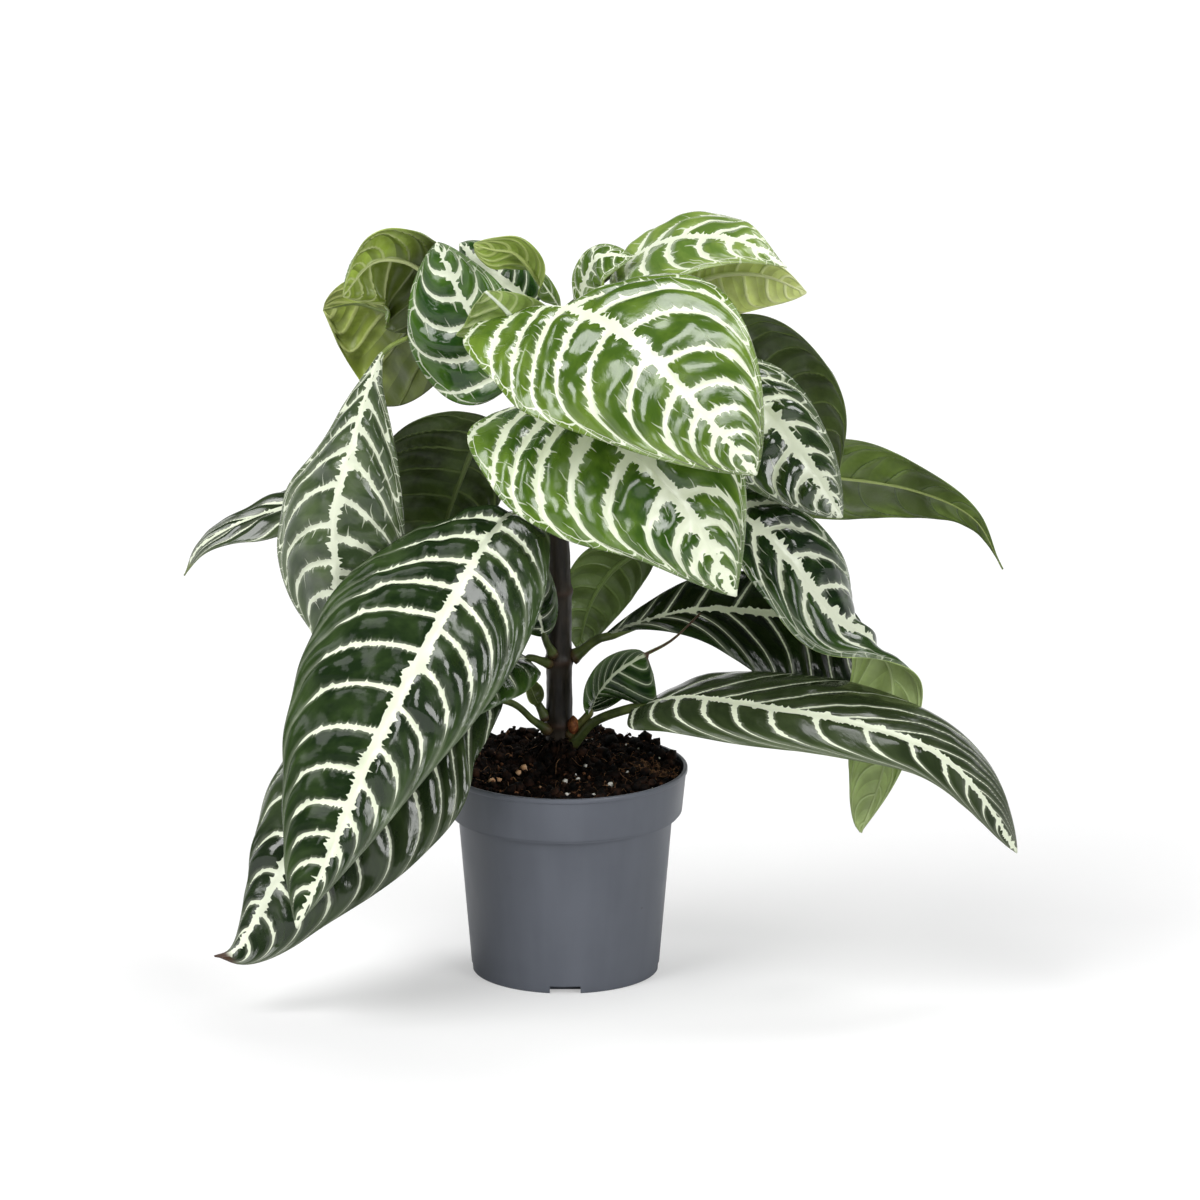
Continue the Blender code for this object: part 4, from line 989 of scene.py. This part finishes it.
def upperMaterial(name, look, size):
    made, tree, shader = newMaterial(name, look["gloss"], 0.75)
    _, phase, span, ribGap = splitField(tree, "vein")
    _, share, away, edgeGap = splitField(tree, "blade")
    flat, s, t, seed = splitField(tree, "flat")
    if "shine" in look:  # how much each side reflects
        plug(shader.inputs["Specular IOR Level"], fade(t, -4, 4, *look["shine"]))

    nearest = round(phase)
    offset = phase - nearest
    gap = abs(offset) * span
    side = maths("SIGN", t)
    row = nearest * 7.3 + maths("SIGN", offset) * 2.1 + side * 57.0 + seed

    # side veins: widest at the midrib, thin at the margin
    narrow = 1 - away * 0.68
    room = maths("MINIMUM", span, 13) * (1 / 13)
    width = narrow * room * (look["lateral"] * size)
    width *= fade(away, look["plainEdge"] - 0.14, look["plainEdge"], 1, 0)
    width *= fade(t, -0.5, 0.5, *look["sideShare"])
    teeth = thornyEdge(ribGap, row, look["thorn"] * look["sideThorn"] * size)
    width += teeth * fade(width, 0.1, 0.8)

    # midrib: slim at the stalk, broadest at its middle, with longer teeth
    thin = fade(share, 0.6, 1.0, 1, 0.25)
    start = fade(share, *look["ribStart"], 1)
    ribWidth = thin * start * (look["midrib"] * size)
    ribWidth += thornyEdge(s, side + seed, look["thorn"] * size, 0.21)
    joined = maths("SMOOTH_MAX", width - gap, ribWidth - ribGap, 1.4 * size)
    white = fade(joined, -0.08, 0.18)
    young = fade(share, 0.0, look["greenBase"], 0.75, 0) * fade(ribGap, 1, 3, 1, 0)
    white *= 1 - young
    beyond = maths("MAXIMUM", gap - width, 0)
    if look["threads"]:
        branches = sideBranches(t, row, beyond, flat, look["threads"])
        white = maths("MAXIMUM", white, branches * fade(width, 0.1, 0.5))
    if look["loops"]:
        white = maths("MAXIMUM", white, marginLoops(phase, edgeGap, s, flat, look["loops"]))

    # the green between: fresher towards the margin and in cloudy patches
    patch = cloudy(flat, 26.0, 3)
    grain = vectorOf(phase * 1.6, t * 0.055, seed)
    streak = cloudy(grain, 0.5, 3, 0.55)
    lively = fade(patch, 0.4, 0.72, 0, 0.6) + fade(away, 0.55, 1.0, 0, 0.6)
    lively = maths("ADD", lively, fade(streak, 0.3, 0.75, -0.15, 0.25), clamp=True)
    green = mixColour(lively, look["deep"], look["fresh"])
    green = mixColour(fade(beyond, 0.0, 1.6, 0.12, 0), green, look["vein"])
    colour = mixColour(white, green, look["vein"])
    if "dryTip" in look:
        colour = mixColour(fade(share, look["dryTip"], look["dryTip"] + 0.02), colour, look["tip"])
    plug(shader.inputs["Base Color"], colour)
    rough = fade(patch, 0.35, 0.7, look["gloss"], look["gloss"] + 0.12)
    plug(shader.inputs["Roughness"], white * 0.16 + rough)
    fine = raised(cloudy(flat, 4.0, 1, 0.4), 0.0001, raised(streak, 0.0004))
    plug(shader.inputs["Normal"], raised(0 - white, 0.00016, fine))
    return made


def scaled(colour, share):
    return tuple(min(1, share * part) for part in colour)


def underMaterial(name, look):
    made, tree, shader = newMaterial(name, 0.34, 0.5)
    _, phase, span, ribGap = splitField(tree, "vein")
    _, share, away, _ = splitField(tree, "blade")
    flat, _, t, _ = splitField(tree, "flat")
    offset = phase - round(phase)
    gap = abs(offset) * span
    width = (1 - away * 0.75) * look["backWidth"]
    lateral = fade(width - gap, -0.5, 0.3)
    ribWidth = fade(share, 0.1, 0.95, 1, 0.25) * look["backMidrib"]
    rib = fade(ribGap - ribWidth, -0.3, 0.5, 1, 0)
    patch = cloudy(flat, 24.0, 4)
    fine = cloudy(flat, 2.2, 4, 0.6)
    # painted light and shade: a darker and a lighter copy of the underside's colour, with patches of painted shade
    # mixed between them
    dark, litColour = scaled(look["back"], 0.45), scaled(look["back"], 1.15)
    patchShade = scaled(look["back"], look["backPatchShade"])
    base = mixColour(fade(patch, 0.36, 0.64), patchShade, litColour)
    # painted shade, darker towards the stalk
    base = mixColour(fade(share, 0.0, 0.45, 0.5, 0), base, dark)
    base = mixColour(fade(fine, 0.3, 0.7, 0, 0.18), base, look["backVein"])
    # painted shade on one flank of each swell between the side veins
    slope = fade(offset, -0.35, 0.4, 0, look["backShade"]) * fade(gap, 0.6, 4.0)
    base = mixColour(slope, base, dark)
    if "backSideShade" in look:  # painted shade: how dark each half is
        base = mixColour(fade(t, -5, 5, *look["backSideShade"]), base, dark)
    base = mixColour(lateral * 0.7, base, look["backVein"])
    base = mixColour(rib * 0.85, base, look.get("backRib", look["backVein"]))
    if "shadow" in look:  # how dark the part by the stalk is, and where that fades
        amount, near, far = look["shadow"]
        base = mixColour(fade(share, near, far, amount, 0), base, (0.02, 0.036, 0.002))
    plug(shader.inputs["Base Color"], base)
    pale = maths("MAXIMUM", lateral, rib)
    plug(shader.inputs["Normal"], raised(pale, 0.0004, raised(fine, 0.00015)))
    return made


def stalkMaterial(name, look):
    made, tree, shader = newMaterial(name, 0.38, 0.35)
    _, reach, share, _ = splitField(tree, "stalk")
    place = ownPlace(tree)
    mottle = cloudy(place, 0.006, 3)
    green = mixColour(fade(mottle, 0.3, 0.7), *look["stalk"])
    green = mixColour(fade(reach, 0.0, 0.16, 0.8, 0), green, (0.065, 0.03, 0.016))
    pale = scaled(look.get("backRib", look["backVein"]), 0.85)
    plug(shader.inputs["Base Color"], mixColour(fade(share, 0.0, 0.2), green, pale))
    plug(shader.inputs["Normal"], raised(cloudy(place, 0.0012, 3), 0.0001))
    return made


def makeBlade(name, leaf, look, seed):
    spots, fields = bladeGrid(leaf, look, seed)
    rows, columns = spots.shape[:2]
    bm = bmesh.new()
    bmesh.ops.create_grid(bm, x_segments=rows - 1, y_segments=columns - 1, size=1)
    bmesh.ops.reverse_faces(bm, faces=bm.faces)
    size = min(1, leaf["width"] / bladeMesh["fullWidth"])
    blade = addPiece(
        f"{name}_blade", bm, upperMaterial(f"{name}Upper", look, size), underMaterial(f"{name}Under", look))
    mesh = blade.data
    grid = np.empty(len(mesh.vertices) * 3)
    mesh.vertices.foreach_get("co", grid)
    grid = grid.reshape(-1, 3)
    i = np.rint((grid[:, 0] + 1) / 2 * (rows - 1)).astype(int)
    j = np.rint((grid[:, 1] + 1) / 2 * (columns - 1)).astype(int)
    mesh.vertices.foreach_set("co", spots[i, j].ravel())
    for title, values in fields.items():
        mesh.attributes.new(title, "FLOAT_VECTOR", "POINT").data.foreach_set("vector", values[i, j].ravel())
    shell = blade.modifiers.new("thickness", "SOLIDIFY")
    shell.thickness = bladeMesh["thickness"] * mm
    shell.offset = -1
    shell.material_offset = 1
    shell.material_offset_rim = 1
    return settle(blade, "leaf_" + leaf["age"], name)


def makeStalk(name, leaf, look):
    route, across, up, places, length, bladeStart = leafFrame(leaf)
    petiole = max(6, round(length * bladeStart / (1.5 * mm)))
    ribs = max(20, round(length * (1 - bladeStart) / (3 * mm)))
    stops = np.concatenate([
        np.linspace(0, bladeStart, petiole, endpoint=False),
        bladeStart + (1 - bladeStart) * 0.94 * np.linspace(0, 1, ribs) ** 1.3])
    share = np.clip((stops - bladeStart) / (1 - bladeStart), 0, 1)
    travelled = stops * length / mm
    thick = leaf["stalkWidth"] * (1 + 0.8 * np.exp(-travelled / 4)) * (1 - 0.85 * share)
    centre, sideways, rise = (readAt(stops, places, values) for values in (route, across, up))
    sink = np.clip(share / 0.04, 0, 1) * (thick + 0.1) * mm
    centre = centre - rise * sink[:, None]
    inward = unit(centre[:1] - centre[1:2])
    centre = np.vstack([centre[:1] + inward * 1.6 * mm, centre])
    thick, share, stops = (np.concatenate([values[:1], values]) for values in (thick, share, stops))
    sideways, rise = (np.vstack([values[:1], values]) for values in (sideways, rise))
    turns = np.linspace(0, 2 * math.pi, 14, endpoint=False)
    rows = centre[:, None] + (
        sideways[:, None] * np.cos(turns)[None, :, None] + rise[:, None] * np.sin(turns)[None, :, None]
    ) * (thick * mm)[:, None, None]
    stalk = addPiece(f"{name}_stalk", rolledTube(rows), stalkMaterial(f"{name}Stalk", look))
    spots = np.array([vertex.co for vertex in stalk.data.vertices])
    nearest = ((spots[:, None] - centre[None]) ** 2).sum(-1).argmin(axis=1)
    reach = np.clip(stops / max(bladeStart, 1e-6), 0, 1)
    values = np.stack([reach[nearest], share[nearest], 0 * share[nearest]], axis=1)
    stalk.data.attributes.new("stalk", "FLOAT_VECTOR", "POINT").data.foreach_set("vector", values.ravel())
    return settle(stalk, "leaf_" + leaf["age"], name)


def makeLeaves():
    for seed, (name, given) in enumerate(leaves.items()):
        leaf = {**plainLeaf, **given}
        look = {**plainLook, **greens[leaf["age"]], **leaf["look"]}
        makeBlade(name, leaf, look, seed)
        makeStalk(name, leaf, look)
        print(name, "ready")


makeLeaves()


# soil and what lies in it

soilShape = {
    "level": 102, "riseBack": 3.6, "bottom": 84, "radius": 57, "edge": 57.1, "rings": 120, "sides": 320,
    "heap": 14, "heapRadius": 14, "heapAt": (-3, 4), "stemFoot": (-3, 6), "stemGap": 8,
    "lump": 3.4, "lumpSize": 11, "crumb": 1.9, "crumbSize": 4.2,
    "crumbs": 1300, "clods": 190, "chips": 110, "perlite": 34, "spread": 55.5,
    "fibres": 100, "roots": 22, "fibreSpread": 52, "fibreReach": 56, "tuft": (44, -9, 8, 80),
    "bigChips": [(-36, -25, 2.7), (-32, -24, 1.9), (-20, -12, 2.3), (-23, -16, 1.8), (-27, -9, 1.5),
        (-12, -30, 1.2)],
    "bigPerlite": [(0, -27, 1.6), (6, -25, 1.4), (10, -9, 1.5), (22, -28, 1.7), (1, -43, 1.3),
        (14, -44, 1.0)],
}


def soilHeight(x, y):
    away = (Vector((x, y)) - Vector(soilShape["heapAt"]) * mm).length
    level = soilShape["level"] + soilShape["riseBack"] * y / (soilShape["radius"] * mm)
    heap = soilShape["heap"] * math.exp(-((away / mm / soilShape["heapRadius"]) ** 2))
    lumps = noise.noise(Vector((x, y, 0.02)) / (soilShape["lumpSize"] * mm)) * soilShape["lump"]
    broken = abs(noise.noise(Vector((x, y, 0.07)) / (soilShape["crumbSize"] * mm)))
    return (level + heap + lumps + soilShape["crumb"] * (1 - 2.5 * broken)) * mm


def soilMaterial():
    made, tree, shader = newMaterial("moistPeat", 0.85, 0.12)
    place = ownPlace(tree)
    grain = cloudy(place, 0.0022, 5, 0.65)
    clods = cloudy(place, 0.007, 3)
    colour = mixColour(fade(grain, 0.4, 0.78), (0.0014, 0.0009, 0.0006), (0.02, 0.009, 0.005))
    colour = mixColour(fade(clods, 0.56, 0.75, 0, 0.5), colour, (0.06, 0.024, 0.012))
    plug(shader.inputs["Base Color"], colour)
    plug(shader.inputs["Normal"], raised(grain, 0.0016))
    return made


def bitMaterial(name, dark, litColour, size, roughness=0.8):
    made, tree, shader = newMaterial(name, roughness, 0.15)
    place = ownPlace(tree)
    mottle = cloudy(place, size, 4, 0.6)
    plug(shader.inputs["Base Color"], mixColour(fade(mottle, 0.42, 0.75), dark, litColour))
    plug(shader.inputs["Normal"], raised(mottle, 0.0003))
    return made


def makeSoil():
    edge, rings = soilShape["edge"], soilShape["rings"]
    profile = [(edge * k / rings, soilShape["level"]) for k in range(rings + 1)]
    profile.append((edge, soilShape["bottom"]))
    bm = spunBody(profile, soilShape["sides"] // 2)
    for vertex in bm.verts:
        if vertex.co.z > (soilShape["bottom"] + 1) * mm:
            x, y = vertex.co.x, vertex.co.y
            fine = noise.noise(Vector((x, y, 0.3)) / 0.0022) + 0.6 * noise.noise(Vector((x, y, 0.5)) / 0.0011)
            dip = 1.6 * math.exp(-((edge * mm - math.hypot(x, y)) / (3 * mm)) ** 2) * (1 - y / (70 * mm))
            vertex.co.z = soilHeight(x, y) + (0.9 * fine - dip) * mm
    bmesh.ops.recalc_face_normals(bm, faces=bm.faces)
    soil = addPiece("soilBed", bm, soilMaterial())
    settle(soil, "peat", "soil")


def scatter(name, count, sizes, surface, seed, flatten=0.75, lift=0.25, picked=()):
    chance = random.Random(seed)
    bm = bmesh.new()
    spots = [(x * mm, y * mm, size * mm) for x, y, size in picked]
    for _ in range(count):
        radius = soilShape["spread"] * mm * math.sqrt(chance.random())
        turn = chance.uniform(0, 2 * math.pi)
        spots.append((radius * math.cos(turn), radius * math.sin(turn), chance.uniform(*sizes) * mm))
    stemX, stemY = soilShape["stemFoot"]
    for x, y, size in spots:
        inStem = math.hypot(x - stemX * mm, y - stemY * mm) < soilShape["stemGap"] * mm
        if inStem or math.hypot(x, y) + size > soilShape["radius"] * mm:
            continue
        place = Matrix.Translation((x, y, soilHeight(x, y) + size * lift))
        angle = chance.uniform(0, 6.3)
        twist = Matrix.Rotation(angle, 4, Vector([chance.gauss(0, 1) for _ in range(3)]).normalized())
        length, breadth = size * chance.uniform(0.7, 1.2), size * chance.uniform(0.6, 1)
        matrix = place @ twist @ Matrix.Diagonal((length, breadth, size * flatten, 1))
        grains = bmesh.ops.create_icosphere(bm, subdivisions=1, radius=1, matrix=matrix)["verts"]
        for vertex in grains:
            vertex.co += (vertex.co - place.translation) * chance.uniform(-0.38, 0.3)
    settle(addPiece(name, bm, surface), "peat")


def fibreStarts(chance):  # where each fibre begins, its heading, its length and its thickness
    tuftX, tuftY, tuftSize, tuftCount = soilShape["tuft"]
    starts = []
    for k in range(soilShape["fibres"] + tuftCount):
        tufted = k >= soilShape["fibres"]
        radius = (tuftSize if tufted else soilShape["fibreSpread"]) * mm * math.sqrt(chance.random())
        turn = chance.uniform(0, 2 * math.pi)
        x = radius * math.cos(turn) + tufted * tuftX * mm
        y = radius * math.sin(turn) + tufted * tuftY * mm
        heading, length = chance.uniform(0, 2 * math.pi), chance.uniform(5, 16)
        starts.append((x, y, heading, length, chance.uniform(0.1, 0.24)))
    return starts


def rootStarts(chance):  # dark roots that run out over the mound from the foot of the stem
    x, y = soilShape["stemFoot"]
    starts = []
    for k in range(soilShape["roots"]):
        turn = 2 * math.pi * (k + chance.uniform(-0.3, 0.3)) / soilShape["roots"]
        spot = (x + 6.6 * math.cos(turn)) * mm, (y + 6.6 * math.sin(turn)) * mm
        starts.append((*spot, turn + chance.gauss(0, 0.3), chance.uniform(8, 20), chance.uniform(0.25, 0.7)))
    return starts


def makeFibres(name, starts, chance, surface):
    bm = bmesh.new()
    for x, y, heading, length, thick in starts:
        points = []
        for k in range(9):
            points.append((x, y, soilHeight(x, y) + (0.9 + 0.5 * math.sin(k)) * mm))
            heading += chance.gauss(0, 0.35)
            x += math.cos(heading) * length * mm / 8
            y += math.sin(heading) * length * mm / 8
            if math.hypot(x, y) > soilShape["fibreReach"] * mm:
                heading += math.pi
        turns = np.linspace(0, 2 * math.pi, 5, endpoint=False)
        ring = np.stack([np.cos(turns), 0.7 * np.cos(turns), np.sin(turns)], axis=1) * thick * mm
        slim = np.linspace(1, 0.4, 9)[:, None, None]
        fibre = rolledTube(np.array(points)[:, None] + ring[None] * slim)
        shape = bpy.data.meshes.new("fibre")
        fibre.to_mesh(shape)
        fibre.free()
        bm.from_mesh(shape)
        bpy.data.meshes.remove(shape)
    settle(addPiece(name, bm, surface), "peat")


makeSoil()
peatBits = bitMaterial("peatCrumb", (0.0012, 0.0008, 0.0006), (0.045, 0.019, 0.010), 0.006)
scatter("soilCrumbs", soilShape["crumbs"], (0.5, 1.5), peatBits, 3)
scatter("soilClods", soilShape["clods"], (1.8, 4.2), peatBits, 4)
rustBits = bitMaterial("barkChip", (0.09, 0.038, 0.018), (0.32, 0.15, 0.07), 0.002)
scatter("barkChips", soilShape["chips"], (0.6, 1.5), rustBits, 5)
paleBits = bitMaterial("paleChip", (0.60, 0.34, 0.18), (0.90, 0.64, 0.42), 0.002)
scatter("paleChips", 0, (1, 1), paleBits, 7, 0.8, 0.6, soilShape["bigChips"])
whiteBits = bitMaterial("perlite", (0.8, 0.78, 0.72), (0.95, 0.94, 0.9), 0.0008, 0.7)
scatter("perliteGrains", soilShape["perlite"], (0.3, 0.8), whiteBits, 6, 0.9, 0.7, soilShape["bigPerlite"])
fibreChance = random.Random(11)
paleFibre = bitMaterial("rootFibre", (0.12, 0.06, 0.03), (0.42, 0.24, 0.12), 0.004)
makeFibres("soilFibres", fibreStarts(fibreChance), fibreChance, paleFibre)
darkRoot = bitMaterial("darkRoot", (0.006, 0.004, 0.003), (0.05, 0.026, 0.015), 0.004)
makeFibres("footRoots", rootStarts(fibreChance), fibreChance, darkRoot)
print("soil ready")


# the little bud beside the stem

budShape = {"height": 124, "outward": (0.69, -0.72, 0), "size": 3.7}


def makeBud():
    height = budShape["height"] * mm
    axis = Vector(stemAt(height)[0])
    outward = Vector(budShape["outward"]).normalized()
    size = budShape["size"] * mm
    centre = axis + outward * (float(stemRadius(height)) + size * 0.75)
    bm = bmesh.new()
    bmesh.ops.create_uvsphere(bm, u_segments=40, v_segments=28, radius=1)
    for vertex in bm.verts:
        turn = math.atan2(vertex.co.y, vertex.co.x)
        lift = vertex.co.z
        scales = 0.06 * abs(math.sin(1.5 * turn + 2.5 * lift))
        narrow = 1 - 0.45 * max(0, lift) ** 2
        vertex.co = Vector(
            (vertex.co.x * 0.75 * narrow, vertex.co.y * 0.75 * narrow, lift * 1.25)) * (1 + scales)
        vertex.co = vertex.co * size + centre
    surface = bitMaterial("budScale", (0.14, 0.045, 0.016), (0.42, 0.17, 0.06), 0.003, 0.5)
    settle(addPiece("sideBudScales", bm, surface), "bud_scale", "side_bud")


makeBud()
print("bud ready")

low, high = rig.bounds()
with open("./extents.json", "w") as sizes:
    json.dump({"cad": [list(cadLow), list(cadHigh)], "visual": [list(low), list(high)]}, sizes)
